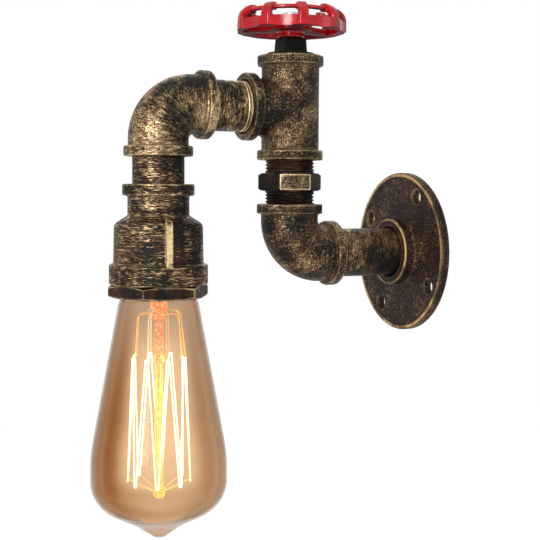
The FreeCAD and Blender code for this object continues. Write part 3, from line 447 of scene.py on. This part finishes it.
# ---------------------------------------------------------------- bronze finish
def streak_vector(graph, run):
    """Coordinates squeezed so that noise in them runs round the piece.

    run is "y" or "z" for a piece turned about that axis, or (y, z) of a bend's pivot.
    """
    place = graph.place()
    if run in ("y", "z"):
        scale = [brush_squeeze, brush_squeeze, brush_squeeze]
        scale["xyz".index(run)] = 1.0
        return graph.vector("MULTIPLY", place, scale)
    x, y, z = graph.axes(place)
    y = graph.math("SUBTRACT", y, run[0])
    z = graph.math("SUBTRACT", z, run[1])
    turn = graph.math("ARCTAN2", z, y)
    away = graph.math("SQRT", graph.weigh((y, y), (z, z)))
    joined = graph.node("ShaderNodeCombineXYZ")
    graph.feed(joined.inputs["X"], graph.product(x, brush_squeeze))
    graph.feed(joined.inputs["Y"], graph.product(away, brush_squeeze))
    graph.feed(joined.inputs["Z"], graph.product(turn, bend_squeeze))
    return joined.outputs["Vector"]


def edge_and_hollow_shade(graph, edge_radius, cavity_reach):
    """How sharp the edge is at each point, and how open the surface is to the sky, both 0..1; the second
    masks painted shade in hollows.
    """
    rounded = graph.node("ShaderNodeBevel", samples=soft_samples)
    graph.feed(rounded.inputs["Radius"], edge_radius)
    geometry = graph.node("ShaderNodeNewGeometry")
    agreement = graph.vector("DOT_PRODUCT", rounded.outputs["Normal"], geometry.outputs["Normal"])
    occlusion = graph.node("ShaderNodeAmbientOcclusion", samples=soft_samples)
    graph.feed(occlusion.inputs["Distance"], cavity_reach)
    return graph.span(agreement, *edge_agreement), graph.span(occlusion.outputs["AO"], *cavity_light)


def cast_grain(graph):
    """Fine stipple, coarser lumps and broad patches of a sand-cast skin."""
    place = graph.place()
    return [graph.noise(place, *kind) for kind in (grain_noise, lump_noise, patch_noise)]


def bronze(
    name, run, gold, streaks, speckle, roughness=0.42, wear=0.26, edge_radius=1.5 * MM, extra=None
):
    """Near-black bronze with gold dry-brushed over it: streaks, speckle, bright edges, painted shade in
    grooves.

    gold, streaks and speckle run from 0 to 1. wear is how much gold the edges show and edge_radius how
    far in. extra, where given, is a function of the graph whose output is added to the paint's thickness.
    """
    graph = Graph(name)
    along = streak_vector(graph, run)
    brush = graph.noise(along, *brush_noise)
    broad = graph.noise(along, *broad_brush_noise)
    grain, lumps, patch = cast_grain(graph)
    edge, unshaded = edge_and_hollow_shade(graph, edge_radius, bronze_cavity)

    shares = (streaks, speckle, broad_share * streaks, lump_share * speckle, patch_share)
    layer = graph.weigh(*zip((brush, grain, broad, lumps, patch), shares), (edge, wear))
    if extra:
        layer = graph.math("ADD", layer, extra(graph))
    middle = 0.5 * sum(shares) + paint_offset + (0.5 - gold) * gold_reach
    # painted shade: the gold thins out in grooves and hollows, so the dark ground shows there
    cover = graph.product(graph.span(layer, *[middle + step for step in cover_band]), unshaded)
    bright = graph.product(graph.span(layer, *[middle + step for step in bright_band]), unshaded)

    warm = graph.span(graph.weigh((patch, 1.0), (lumps, warm_lumps)), *warm_band)
    ground = graph.blend(warm, bronze_ground, bronze_ground_warm)
    thin = graph.blend(warm, gold_thin, gold_thin_warm)
    colour = graph.blend(bright, graph.blend(cover, ground, thin), gold_bright)
    metal = graph.math("MULTIPLY_ADD", cover, gold_metal, bare_metal)
    metal = graph.math("ADD", metal, graph.product(bright, bright_metal))
    shine = graph.span(cover, 0.0, 1.0, roughness + bare_dulling, roughness - gold_polish)
    shine = graph.math("SUBTRACT", shine, graph.product(bright, bright_polish))
    graph.set(Base_Color=colour, Metallic=metal, Roughness=shine, Specular_IOR_Level=bronze_specular)
    height = graph.weigh((grain, speckle), (brush, brush_relief * streaks), (lumps, lump_relief * speckle))
    graph.bump(height, relief_strength, cast_relief)
    return graph.material


def cast_rib_paint(graph):
    """Thick gold along the reducer's front cast rib and bare metal on the field beside it."""
    x, y, z = graph.axes(graph.place())
    x = graph.math("SUBTRACT", x, cad["bulb_axis"].x)
    y = graph.math("SUBTRACT", y, cad["bulb_axis"].y)
    turn = graph.math("ARCTAN2", y, x)
    rib_turn = math.radians(rib_angle)
    off_rib = graph.math("ABSOLUTE", graph.math("SUBTRACT", turn, rib_turn))
    below = graph.span(z, rib_top, rib_top + rib_top_fade, 1.0, 0.0)
    on_body = graph.product(below, graph.span(z, rib_foot - rib_foot_fade, rib_foot))
    rib = graph.span(off_rib, rib_half_turn, rib_fade * rib_half_turn, rib_gold, 0.0)
    rib = graph.product(rib, on_body)
    field = graph.product(
        graph.span(turn, *[rib_turn + share * rib_half_turn for share in field_start]),
        graph.span(turn, field_end, field_end + field_fade, 1.0, 0.0),
        on_body,
        field_bare,
    )
    return graph.math("SUBTRACT", rib, field)


def ring_line(graph, radius, width, front):
    """1 on a thin ring about the wall flange's axis, on the side that faces the room."""
    x, y, z = graph.axes(graph.place())
    away = graph.math("SQRT", graph.weigh((x, x), (z, z)))
    off = graph.math("ABSOLUTE", graph.math("SUBTRACT", away, radius))
    line = graph.span(off, *[share * width for share in ring_softness], 1.0, 0.0)
    return graph.product(line, graph.span(y, front, front + rim_reach_fade, 1.0, 0.0))


def flange_bronze():
    """Much darker than the fittings: red-brown speckle and glitter, with gold left on its rims, and
    painted shade in its holes.
    """
    graph = Graph("flange_bronze_paint")
    low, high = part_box("wall_flange")
    grain, lumps, patch = cast_grain(graph)
    edge, unshaded = edge_and_hollow_shade(graph, flange_edge, flange_cavity)
    red = graph.span(graph.weigh((grain, 1.0), (patch, flange_red_patch)), *flange_red_band)
    glitter = graph.span(graph.weigh((grain, 1.0), (patch, flange_glitter_patch)), *flange_glitter_band)
    colour = graph.blend(glitter, graph.blend(red, flange_ground, flange_red), flange_glitter)
    rim = ring_line(graph, high.x - flange_rim_inset, flange_rim_width, flange_front + flange_rim_reach)
    hub = ring_line(graph, hub_radius - hub_rim_inset, hub_rim_width, low.y + hub_rim_reach)
    worn = graph.weigh((patch, 1.0), (lumps, rim_worn_lumps))
    worn = graph.span(worn, *rim_worn_band, rim_worn_least, 1.0)
    rim = graph.product(graph.math("MAXIMUM", graph.math("MAXIMUM", rim, hub), edge), worn)
    colour = graph.blend(rim, colour, flange_gold)
    # painted shade: darker in the holes and hollows, and no gold there
    colour = graph.blend(unshaded, flange_hollow_shade, colour)
    gold = graph.product(graph.math("MAXIMUM", rim, glitter), unshaded)
    metal = graph.math("MULTIPLY_ADD", gold, flange_metal, bare_metal)
    shine = graph.span(gold, 0.0, 1.0, *flange_shine)
    graph.set(Base_Color=colour, Metallic=metal, Roughness=shine, Specular_IOR_Level=bronze_specular)
    graph.bump(graph.math("ADD", grain, lumps), relief_strength, cast_relief)
    return graph.material


# ---------------------------------------------------------------- plug and wheel
def matte_black():
    """Flat black paint over a rough casting, worn to brown on a few edges, with painted shade in its
    hollows.
    """
    graph = Graph("plug_black_paint")
    place = graph.place()
    grain = graph.noise(place, *plug_grain_noise)
    patch = graph.noise(place, *plug_patch_noise)
    edge, unshaded = edge_and_hollow_shade(graph, plug_edge, plug_cavity)
    colour = graph.blend(graph.span(grain, *plug_grey_band), plug_black, plug_grey)
    worn = graph.product(edge, graph.span(patch, *plug_worn_band))
    colour = graph.blend(worn, colour, plug_worn)
    # painted shade in the hollows
    colour = graph.blend(unshaded, plug_hollow_shade, colour)
    shine = graph.span(grain, *usual_noise, *plug_shine)
    graph.set(Base_Color=colour, Metallic=0.0, Roughness=shine, Specular_IOR_Level=plug_specular)
    graph.bump(grain, plug_relief_strength, cast_relief)
    return graph.material


def red_enamel():
    """Glossy red over a rough casting: painted shade in the hollows and on the duller underside, a few
    chips.
    """
    graph = Graph("wheel_red_enamel")
    place = graph.place()
    swell = graph.noise(place, *wheel_swell_noise)
    grain = graph.noise(place, *wheel_grain_noise)
    chip = graph.noise(place, *wheel_chip_noise)
    edge, unshaded = edge_and_hollow_shade(graph, wheel_edge, wheel_cavity)
    colour = graph.blend(graph.span(swell, *middle_noise), wheel_red_deep, wheel_red)
    # painted shade in the hollows
    colour = graph.blend(unshaded, wheel_hollow_shade, colour)
    # painted shade: the underside is darker, and also duller
    upward = graph.axes(graph.node("ShaderNodeNewGeometry").outputs["True Normal"])[2]
    underside = graph.span(upward, *wheel_underside_span, 1.0, 0.0)
    colour = graph.blend(underside, colour, wheel_underside_shade)
    bare = graph.product(graph.span(chip, *wheel_chip_band), edge)
    colour = graph.blend(bare, colour, wheel_chip)
    shine = graph.span(grain, *usual_noise, *wheel_shine)
    shine = graph.math("MAXIMUM", shine, graph.product(underside, wheel_under_roughness))
    graph.set(Base_Color=colour, Metallic=0.0, Roughness=shine, Specular_IOR_Level=wheel_specular)
    graph.bump(graph.math("ADD", swell, graph.product(grain, wheel_grain_relief)), *wheel_relief)
    return graph.material


# ---------------------------------------------------------------- small parts
def plain_metal(name, colour, tarnished, roughness):
    """Turned or drawn metal with fine tool marks and a little tarnish."""
    graph = Graph(name)
    place = graph.place()
    marks = graph.noise(graph.vector("MULTIPLY", place, tool_mark_squeeze), *tool_mark_noise)
    tarnish = graph.noise(place, *tarnish_noise)
    shade = graph.blend(graph.span(tarnish, *tarnish_band), colour, tarnished)
    shine = graph.span(marks, *usual_noise, roughness, roughness + tool_mark_dulling)
    graph.set(Base_Color=shade, Metallic=tool_mark_metal, Roughness=shine)
    graph.bump(marks, *tool_mark_relief)
    return graph.material


def ceramic():
    """Cream glaze with faint specks."""
    graph = Graph("ceramic_glaze")
    place = graph.place()
    speck = graph.noise(place, *glaze_speck_noise)
    wave = graph.noise(place, *glaze_wave_noise)
    colour = graph.blend(graph.span(speck, *glaze_speck_band), glaze, glaze_speck)
    graph.set(Base_Color=colour, Roughness=graph.span(wave, *usual_noise, *glaze_shine))
    graph.bump(wave, *glaze_relief)
    return graph.material


def lead_sheath(name, colour, shade):
    """Plastic of an insulated lead."""
    graph = Graph(name)
    fine = graph.noise(graph.place(), *sheath_noise)
    mottle = graph.blend(graph.span(fine, *middle_noise), colour, shade)
    graph.set(Base_Color=mottle, Roughness=sheath_roughness)
    graph.bump(fine, *sheath_relief)
    return graph.material


def black_glass():
    """Insulator at the end of the bulb's cap."""
    graph = Graph("insulator_glass")
    fine = graph.noise(graph.place(), *insulator_noise)
    colour = graph.blend(graph.span(fine, *insulator_band), insulator_black, insulator_grey)
    graph.set(Base_Color=colour, Roughness=insulator_roughness)
    graph.bump(fine, *insulator_relief)
    return graph.material


# ---------------------------------------------------------------- the bulb
def amber_glass():
    """Blown glass with a smoky amber coat: greyer at the neck and rim, deeper in the belly."""
    graph = Graph("bulb_amber_glass")
    low, high = cad["glass"]
    place = graph.place()
    height = graph.axes(place)[2]
    facing = graph.facing()
    wave = graph.noise(graph.vector("MULTIPLY", place, coat_wave_squeeze), *coat_wave_noise)
    sideways = graph.vector("DOT_PRODUCT", place, coat_side)
    sideways = graph.math("SUBTRACT", sideways, cad["bulb_axis"].dot(coat_side))
    towards_side = graph.span(sideways, *coat_side_span)
    belly = graph.blend(graph.span(wave, *middle_noise), *coat_belly)
    strip = graph.product(
        graph.span(facing, *coat_strip[:2]),
        graph.span(facing, *coat_strip[2:], 1.0, 0.0),
    )
    colour = graph.blend(strip, belly, graph.blend(towards_side, coat_strip_pale, coat_strip_deep))
    neck = graph.span(height, low.z + coat_neck[0], high.z + coat_neck[1])
    colour = graph.blend(neck, colour, coat_neck_tint)
    pip = graph.span(height, low.z + coat_pip[0], low.z + coat_pip[1], 1.0, 0.0)
    colour = graph.blend(pip, colour, coat_pip_tint)
    for start, full, tint in coat_rims:
        colour = graph.blend(graph.span(facing, start, full), colour, tint)
    lit = graph.product(
        graph.span(height, low.z + coat_lit_foot[0], low.z + coat_lit_foot[1]),
        graph.span(height, high.z - coat_lit_top[0], high.z - coat_lit_top[1], 1.0, 0.0),
        graph.span(facing, *coat_lit_facing, coat_glow, 0.0),
    )
    graph.set(Emission_Color=coat_glow_tint, Emission_Strength=lit)
    graph.set(Base_Color=colour, Roughness=0.0, IOR=glass_index, Transmission_Weight=1.0)
    graph.bump(wave, *coat_wave_relief)
    return graph.material


def stem_glass():
    """Clear glass with a painted warm glow for the filament's light; the press is full of fine seeds."""
    graph = Graph("bulb_stem_glass")
    place = graph.place()
    seeds = graph.noise(place, *stem_seed_noise)
    colour = graph.blend(graph.span(seeds, *stem_seed_band), stem_seed, stem_clear)
    graph.set(Base_Color=colour, Roughness=stem_roughness)
    graph.set(IOR=stem_index, Transmission_Weight=stem_clearness)
    # painted glow: the stem is no lamp; yellow on the rod, orange and pink over the press
    heat = graph.span(graph.axes(place)[2], *[cad["ring_foot"] - depth for depth in stem_glow_span])
    press_light = graph.blend(graph.span(seeds, *stem_press_band), *stem_press_glow)
    graph.set(Emission_Color=graph.blend(heat, stem_rod_glow, press_light), Emission_Strength=stem_glow)
    graph.bump(seeds, *stem_seed_relief)
    return graph.material


def hot_wire():
    """Carbon wire at white heat, orange-pink where it curves out of sight."""
    graph = Graph("filament_glow")
    heat = graph.noise(graph.place(), *filament_noise)
    core = graph.blend(graph.span(heat, *middle_noise), *filament_heat)
    glow = graph.blend(graph.span(graph.facing(), *filament_rim_facing), core, filament_rim)
    graph.set(Base_Color=filament_body, Metallic=filament_metal, Roughness=filament_roughness)
    graph.set(Emission_Color=glow, Emission_Strength=filament_power)
    return graph.material


def support_wire():
    """Hooks and leads, lit by the filament."""
    graph = Graph("support_wire_warm")
    heat = graph.noise(graph.place(), *support_noise)
    colour = graph.blend(graph.span(heat, *support_band), *support_colours)
    graph.set(Base_Color=colour, Metallic=support_metal, Roughness=support_roughness)
    graph.set(Emission_Color=support_tint, Emission_Strength=support_glow)
    return graph.material


# ---------------------------------------------------------------- meshes
def new_object(name, data):
    made = bpy.data.objects.new(name, data)
    bpy.context.scene.collection.objects.link(made)
    return made


def finish_mesh(name, build, body, material):
    """Makes an object of the bmesh, shaded smooth except over sharp edges, and rides it on the body."""
    mesh = bpy.data.meshes.new(name)
    bmesh.ops.recalc_face_normals(build, faces=build.faces)
    build.to_mesh(mesh)
    build.free()
    mesh.shade_smooth()
    mesh.set_sharp_from_angle(angle=math.radians(sharp_edge))
    mesh.materials.append(material)
    made = new_object(name, mesh)
    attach(made, body)
    return made


def join_rings(build, lower, upper):
    """Faces between two closed rings of as many points."""
    for k in range(len(lower)):
        after = (k + 1) % len(lower)
        build.faces.new((lower[k], lower[after], upper[after], upper[k]))


def turned_form(rows, place):
    """Closed skin through rows of rings; a row is a function of the angle that gives (radius, height)."""
    build = bmesh.new()
    rings = []
    for row in rows:
        ring = []
        for k in range(round_columns):
            angle = 2 * math.pi * k / round_columns
            radius, height = row(angle)
            point = Vector((radius * math.cos(angle), radius * math.sin(angle), height))
            ring.append(build.verts.new(place @ point))
        rings.append(ring)
    for lower, upper in zip(rings, rings[1:] + rings[:1]):
        join_rings(build, lower, upper)
    return build


def thread_row(height, low, high, depth):
    """Ring of a threaded length at this height: the groove winds round and fades out at both ends."""

    def row(angle):
        phase = height / thread_pitch - angle / (2 * math.pi)
        groove = 0.5 - 0.5 * math.cos(2 * math.pi * phase)
        fade = max(0.0, min(1.0, (height - low) / thread_runout, (high - height) / thread_runout))
        return pipe_radius - depth * groove ** thread_crest * fade, height

    return row


def plain_row(radius, height):
    return lambda angle: (radius, height)


def steps(low, high, count):
    """count even steps from low to high, both of them included."""
    return [low + (high - low) * k / count for k in range(count + 1)]


def hexagon_row(height, low, high):
    """Ring of the hexagon, its corners turned off near both faces."""
    corner = hex_flats / math.sqrt(3)
    flank = hex_flats / 2 + hex_flank
    inset = min(1.0, (height - low) / hex_chamfer, (high - height) / hex_chamfer)
    limit = flank + (corner - flank) * max(inset, 0.0)

    def row(angle):
        turn = (angle - math.radians(hex_angle)) % (math.pi / 3) - math.pi / 6
        return min(hex_flats / 2 / math.cos(turn), limit), height

    return row


def threaded_hex_nipple(material):
    """The hexagon between two threads; returns its axis's foot and the hexagon's middle height."""
    low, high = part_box("hex_nipple")
    centre = Vector(((low.x + high.x) / 2, (low.y + high.y) / 2, 0.0))
    middle = (low.z + high.z) / 2
    hex_low = middle - hex_height / 2
    hex_high = middle + hex_height / 2
    rows = [plain_row(hex_bore, low.z), plain_row(pipe_radius - thread_depth, low.z)]
    count = round((hex_low - low.z) / thread_pitch * thread_rows)
    for height in steps(low.z + end_lip, hex_low, count):
        rows.append(thread_row(height, low.z - thread_runout, hex_low, thread_depth))
    lower_chamfer = steps(hex_low, hex_low + hex_chamfer, hex_chamfer_rows)
    upper_chamfer = steps(hex_high - hex_chamfer, hex_high, hex_chamfer_rows)
    for height in lower_chamfer + upper_chamfer:
        rows.append(hexagon_row(height, hex_low, hex_high))
    for height in steps(hex_high, high.z - end_lip, count):
        rows.append(thread_row(height, hex_high, high.z + thread_runout, thread_depth))
    rows += [plain_row(pipe_radius - thread_depth, high.z), plain_row(hex_bore, high.z)]
    build = turned_form(rows, Matrix.Translation(centre))
    made = finish_mesh("hex_nipple_threaded", build, "fixture", material)
    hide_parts("hex_nipple")
    return centre, middle


def hexagon_plate(centre, middle, material):
    """Raised rectangular panel cast on the hexagon's flat that faces the room, left bare."""
    build = bmesh.new()
    outline = []
    for sign_x, sign_z, start in ((1, -1, -90), (1, 1, 0), (-1, 1, 90), (-1, -1, 180)):
        for turn in (0, 30, 60, 90):
            angle = math.radians(start + turn)
            x = sign_x * (plate_width / 2 - plate_round) + plate_round * math.cos(angle)
            z = sign_z * (plate_height / 2 - plate_round) + plate_round * math.sin(angle)
            outline.append((x, z))
    rings = []
    for inset, out in ((0.0, -plate_sunk), (0.0, plate_proud - plate_bevel), (plate_bevel, plate_proud)):
        shrink = 1 - inset / (plate_height / 2)
        y = -(hex_flats / 2 + out)
        rings.append([build.verts.new((x * shrink, y, z * shrink)) for x, z in outline])
    for lower, upper in zip(rings, rings[1:]):
        join_rings(build, lower, upper)
    build.faces.new(rings[0])
    build.faces.new(rings[-1])
    # a flat's middle lies 30 degrees past a corner, and the panel is drawn facing -Y
    turn = Matrix.Rotation(math.radians(hex_angle + 30 + 90), 4, "Z")
    build.transform(Matrix.Translation(centre + Vector((0, 0, middle))) @ turn)
    finish_mesh("hex_nipple_panel", build, "fixture", material)


def threaded_upper_nipple(material):
    """The pipe between tee and elbow, with the end of its thread showing at the tee."""
    low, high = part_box("upper_nipple")
    centre = Vector(((low.x + high.x) / 2, 0.0, (low.z + high.z) / 2))
    length = high.y - low.y
    thread_low = length - nipple_engagement - nipple_thread_shown
    rows = [plain_row(nipple_bore, 0.0), plain_row(pipe_radius, 0.0)]
    plain = steps(nipple_plain_start, thread_low, nipple_plain_rows)
    rows += [plain_row(pipe_radius, height) for height in plain]
    count = round((length - thread_low) / thread_pitch * thread_rows)
    for height in steps(thread_low, length - end_lip, count):
        rows.append(thread_row(height, thread_low, length + thread_runout, nipple_thread_depth))
    rows += [plain_row(pipe_radius - thread_depth, length), plain_row(nipple_bore, length)]
    place = Matrix.Translation(centre + Vector((0, low.y, 0))) @ Matrix.Rotation(math.radians(-90), 4, "X")
    build = turned_form(rows, place)
    made = finish_mesh("upper_nipple_threaded", build, "fixture", material)
    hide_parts("upper_nipple")


def bulb_point(radius, turn, depth):
    """Point at a radius and a turn about the bulb's axis, below the ring's lower face."""
    angle = math.radians(turn)
    x = cad["bulb_axis"].x + radius * math.cos(angle)
    y = cad["bulb_axis"].y + radius * math.sin(angle)
    return Vector((x, y, cad["ring_foot"] - depth))


def filament_points():
    """Corners of the wire: two at each hook, lower and upper in turn, and an end at each lead."""

    def direction(step):
        return hook_start + 180 / hook_count * step

    last = 2 * hook_count - 2
    points = [bulb_point(upper_hook_radius, direction(-end_share), upper_hook_depth)]
    for step in range(last + 1):
        lower = step % 2 == 0
        radius = lower_hook_radius if lower else upper_hook_radius
        depth = lower_hook_depth + hook_turn_radius if lower else upper_hook_depth - hook_turn_radius
        for side in (-1, 1):
            lean = math.degrees(hook_turn_radius / radius) * side
            points.append(bulb_point(radius, direction(step) + lean, depth))
    points.append(bulb_point(upper_hook_radius, direction(last + end_share), upper_hook_depth))
    return points


def filament_coil(material):
    """The wound wire: strung up and down between the hooks, as thick as its own fine coiling."""
    points = filament_points()
    curve = bpy.data.curves.new("filament_coil", "CURVE")
    curve.dimensions = "3D"
    curve.bevel_depth = coil_radius
    curve.bevel_resolution = coil_facets
    line = curve.splines.new("POLY")
    line.points.add(len(points) - 1)
    for spot, point in zip(line.points, points):
        spot.co = (*point, 1.0)
    curve.materials.append(material)
    made = new_object("filament_coil", curve)
    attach(made, "bulb")
    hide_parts("filament")


# ---------------------------------------------------------------- dressing
def paint(material, *nodes):
    for node in nodes:
        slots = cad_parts[node].data.materials
        slots.clear()
        slots.append(material)


def dress_castings():
    """Bronze of the fittings; arguments are name, run of the brush, gold, streaks and speckle."""
    low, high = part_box("upper_elbow")
    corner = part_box("lower_elbow")[1]
    lower_pivot = (corner.y - bend_inset, corner.z - bend_inset)
    upper_pivot = (high.y - bend_inset, low.z + bend_inset)
    paint(flange_bronze(), "wall_flange")
    paint(bronze("lower_nipple_bronze", "y", 0.46, 0.5, 0.5), "lower_nipple")
    paint(bronze("lower_elbow_bronze", lower_pivot, 0.42, 0.35, 0.8), "lower_elbow")
    paint(bronze("tee_bronze", "z", 0.38, 0.2, 0.9), "tee")
    paint(bronze("upper_elbow_bronze", upper_pivot, 0.53, 0.5, 0.6), "upper_elbow")
    paint(bronze("reducer_nipple_bronze", "z", 0.38, 0.9, 0.25), "reducer_nipple")
    paint(bronze("reducer_bronze", "z", 0.41, 0.9, 0.25, extra=cast_rib_paint), "reducer_coupling")
    paint(bronze("bushing_bronze", "z", 0.16, 0.7, 0.3, wear=0.22, edge_radius=1.9 * MM), "hex_bushing")


def dress_nipples():
    """Bronze of the two nipples whose threads are drawn here, and the panel on the hexagon."""
    hex_bronze = bronze("hex_nipple_bronze", "z", 0.14, 0.5, 0.5, wear=0.16, edge_radius=0.35 * MM)
    panel_bronze = bronze("panel_bronze", "z", 0.58, 0.2, 0.9, roughness=0.4)
    nipple_bronze = bronze("nipple_bronze_y", "y", 0.50, 0.7, 0.4, roughness=0.4)
    paint(hex_bronze, "hex_nipple")
    paint(nipple_bronze, "upper_nipple")
    centre, middle = threaded_hex_nipple(hex_bronze)
    hexagon_plate(centre, middle, panel_bronze)
    threaded_upper_nipple(nipple_bronze)


def dress_top():
    """The black plug and the red wheel on its screw."""
    paint(matte_black(), "square_head_plug")
    paint(red_enamel(), "handwheel")
    paint(plain_metal("zinc_bright", zinc, zinc_tarnish, roughness=0.28), "wheel_screw")
    paint(plain_metal("zinc_washer", zinc_dull, zinc_tarnish, roughness=0.32), "wheel_washer")


def dress_lampholder():
    """Ceramic, brass, screws and leads inside the reducer."""
    brass = plain_metal("lampholder_brass", holder_brass, holder_brass_tarnish, roughness=0.25)
    paint(ceramic(), "lampholder_body")
    paint(brass, "lampholder_shell", "lampholder_contact", "lampholder_terminals")
    paint(plain_metal("zinc_screws", zinc, screw_tarnish, roughness=0.3), "terminal_screws")
    paint(lead_sheath("live_sheath", live_brown, live_brown_pale), "live_wire")
    paint(lead_sheath("neutral_sheath", neutral_blue, neutral_blue_pale), "neutral_wire")


def dress_bulb():
    """Glass, cap and contact, stem, hooks and the glowing wire."""
    glow = hot_wire()
    paint(plain_metal("cap_brass", cap_brass, cap_brass_tarnish, roughness=0.25), "bulb_cap")
    paint(black_glass(), "bulb_insulator")
    paint(plain_metal("solder_tin", solder, solder_tarnish, roughness=0.35), "bulb_contact")
    paint(amber_glass(), "bulb_glass")
    paint(stem_glass(), "bulb_stem")
    paint(support_wire(), "upper_supports", "lower_supports", "lead_in_wires")
    paint(glow, "filament")
    filament_coil(glow)


# ---------------------------------------------------------------- light, floor and camera
def direction_to(azimuth, elevation):
    """Unit vector from the object towards a viewer at this azimuth and elevation."""
    a = math.radians(azimuth)
    e = math.radians(elevation)
    return Vector((math.sin(a) * math.cos(e), -math.cos(a) * math.cos(e), math.sin(e)))


def area_lamp(name, azimuth, elevation, distance, size, power):
    """Soft box that looks at the middle of the object from this direction."""
    lamp = bpy.data.lights.new(name, "AREA")
    lamp.shape = "RECTANGLE"
    lamp.size, lamp.size_y = size
    lamp.energy = power
    made = new_object(name, lamp)
    back = direction_to(azimuth, elevation)
    made.location = cad["middle"] + back * distance
    made.rotation_mode = "QUATERNION"
    made.rotation_quaternion = (-back).to_track_quat("-Z", "Y")


def background_share(tree):
    """1 for the rays that should meet the white background, 0 for those that carry light."""
    path = tree.nodes.new("ShaderNodeLightPath")
    share = path.outputs["Is Camera Ray"]
    for output in ("Is Glossy Ray", "Is Transmission Ray"):
        larger = tree.nodes.new("ShaderNodeMath")
        larger.operation = "MAXIMUM"
        tree.links.new(share, larger.inputs[0])
        tree.links.new(path.outputs[output], larger.inputs[1])
        share = larger.outputs[0]
    return share


def studio():
    """Dim world that is white to the camera and in reflections, and the soft boxes."""
    world = bpy.data.worlds.new("studio")
    world.use_nodes = True
    tree = world.node_tree
    soft = tree.nodes["Background"]
    soft.inputs["Color"].default_value = world_tint
    soft.inputs["Strength"].default_value = world_strength
    white = tree.nodes.new("ShaderNodeBackground")
    white.inputs["Color"].default_value = rgb(1.0, 1.0, 1.0)
    white.inputs["Strength"].default_value = 1.0
    choice = tree.nodes.new("ShaderNodeMixShader")
    tree.links.new(background_share(tree), choice.inputs["Fac"])
    tree.links.new(soft.outputs[0], choice.inputs[1])
    tree.links.new(white.outputs[0], choice.inputs[2])
    tree.links.new(choice.outputs[0], tree.nodes["World Output"].inputs["Surface"])
    bpy.context.scene.world = world
    for name, (turn, elevation, distance, size, power) in soft_boxes.items():
        area_lamp(name, camera_azimuth + turn, elevation, distance, size, power)


def floor():
    """Plain pale floor below the lamp: nearly white to the camera, but it still takes the shadow."""
    build = bmesh.new()
    bmesh.ops.create_circle(build, cap_ends=True, radius=floor_radius, segments=floor_segments)
    mesh = bpy.data.meshes.new("studio_floor")
    build.to_mesh(mesh)
    build.free()
    made = new_object("studio_floor", mesh)
    made.location = (0.0, 0.0, floor_height)
    material = bpy.data.materials.new("floor_pale")
    material.use_nodes = True
    tree = material.node_tree
    pale = tree.nodes["Principled BSDF"]
    pale.inputs["Base Color"].default_value = floor_tint
    pale.inputs["Roughness"].default_value = floor_roughness
    white = tree.nodes.new("ShaderNodeEmission")
    part = tree.nodes.new("ShaderNodeMath")
    part.operation = "MULTIPLY"
    tree.links.new(background_share(tree), part.inputs[0])
    part.inputs[1].default_value = floor_white
    tree.links.new(part.outputs[0], white.inputs["Strength"])
    both = tree.nodes.new("ShaderNodeAddShader")
    tree.links.new(pale.outputs[0], both.inputs[0])
    tree.links.new(white.outputs[0], both.inputs[1])
    tree.links.new(both.outputs[0], tree.nodes["Material Output"].inputs["Surface"])
    mesh.materials.append(material)


def camera():
    """Camera at its fitted place, level across the picture but for the roll."""
    lens = bpy.data.cameras.new("photo_camera")
    lens.lens = camera_lens
    lens.sensor_width = sensor_width
    lens.clip_start = camera_near
    made = new_object("photo_camera", lens)
    back = direction_to(camera_azimuth, camera_elevation)
    heading = math.radians(camera_azimuth)
    level = Vector((math.cos(heading), math.sin(heading), 0.0))
    above = back.cross(level)
    turn = math.radians(camera_roll)
    right = level * math.cos(turn) + above * math.sin(turn)
    up = back.cross(right)
    made.matrix_world = Matrix.Translation(camera_place) @ Matrix((right, up, back)).transposed().to_4x4()
    bpy.context.scene.camera = made


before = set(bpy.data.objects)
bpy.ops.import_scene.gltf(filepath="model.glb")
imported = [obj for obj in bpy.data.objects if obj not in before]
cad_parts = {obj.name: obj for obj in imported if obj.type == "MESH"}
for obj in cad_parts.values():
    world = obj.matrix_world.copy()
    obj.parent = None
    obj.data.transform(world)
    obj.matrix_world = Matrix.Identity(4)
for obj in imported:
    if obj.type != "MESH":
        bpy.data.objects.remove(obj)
box_of_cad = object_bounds()
cad["middle"] = (box_of_cad[0] + box_of_cad[1]) / 2
cad["glass"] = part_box("bulb_glass")
cad["ring_foot"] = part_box("hex_bushing")[0].z
cad["bulb_axis"] = (cad["glass"][0] + cad["glass"][1]) / 2

dress_castings()
dress_nipples()
dress_top()
dress_lampholder()
dress_bulb()
studio()
floor()
camera()
bpy.context.scene.view_settings.view_transform = "Standard"
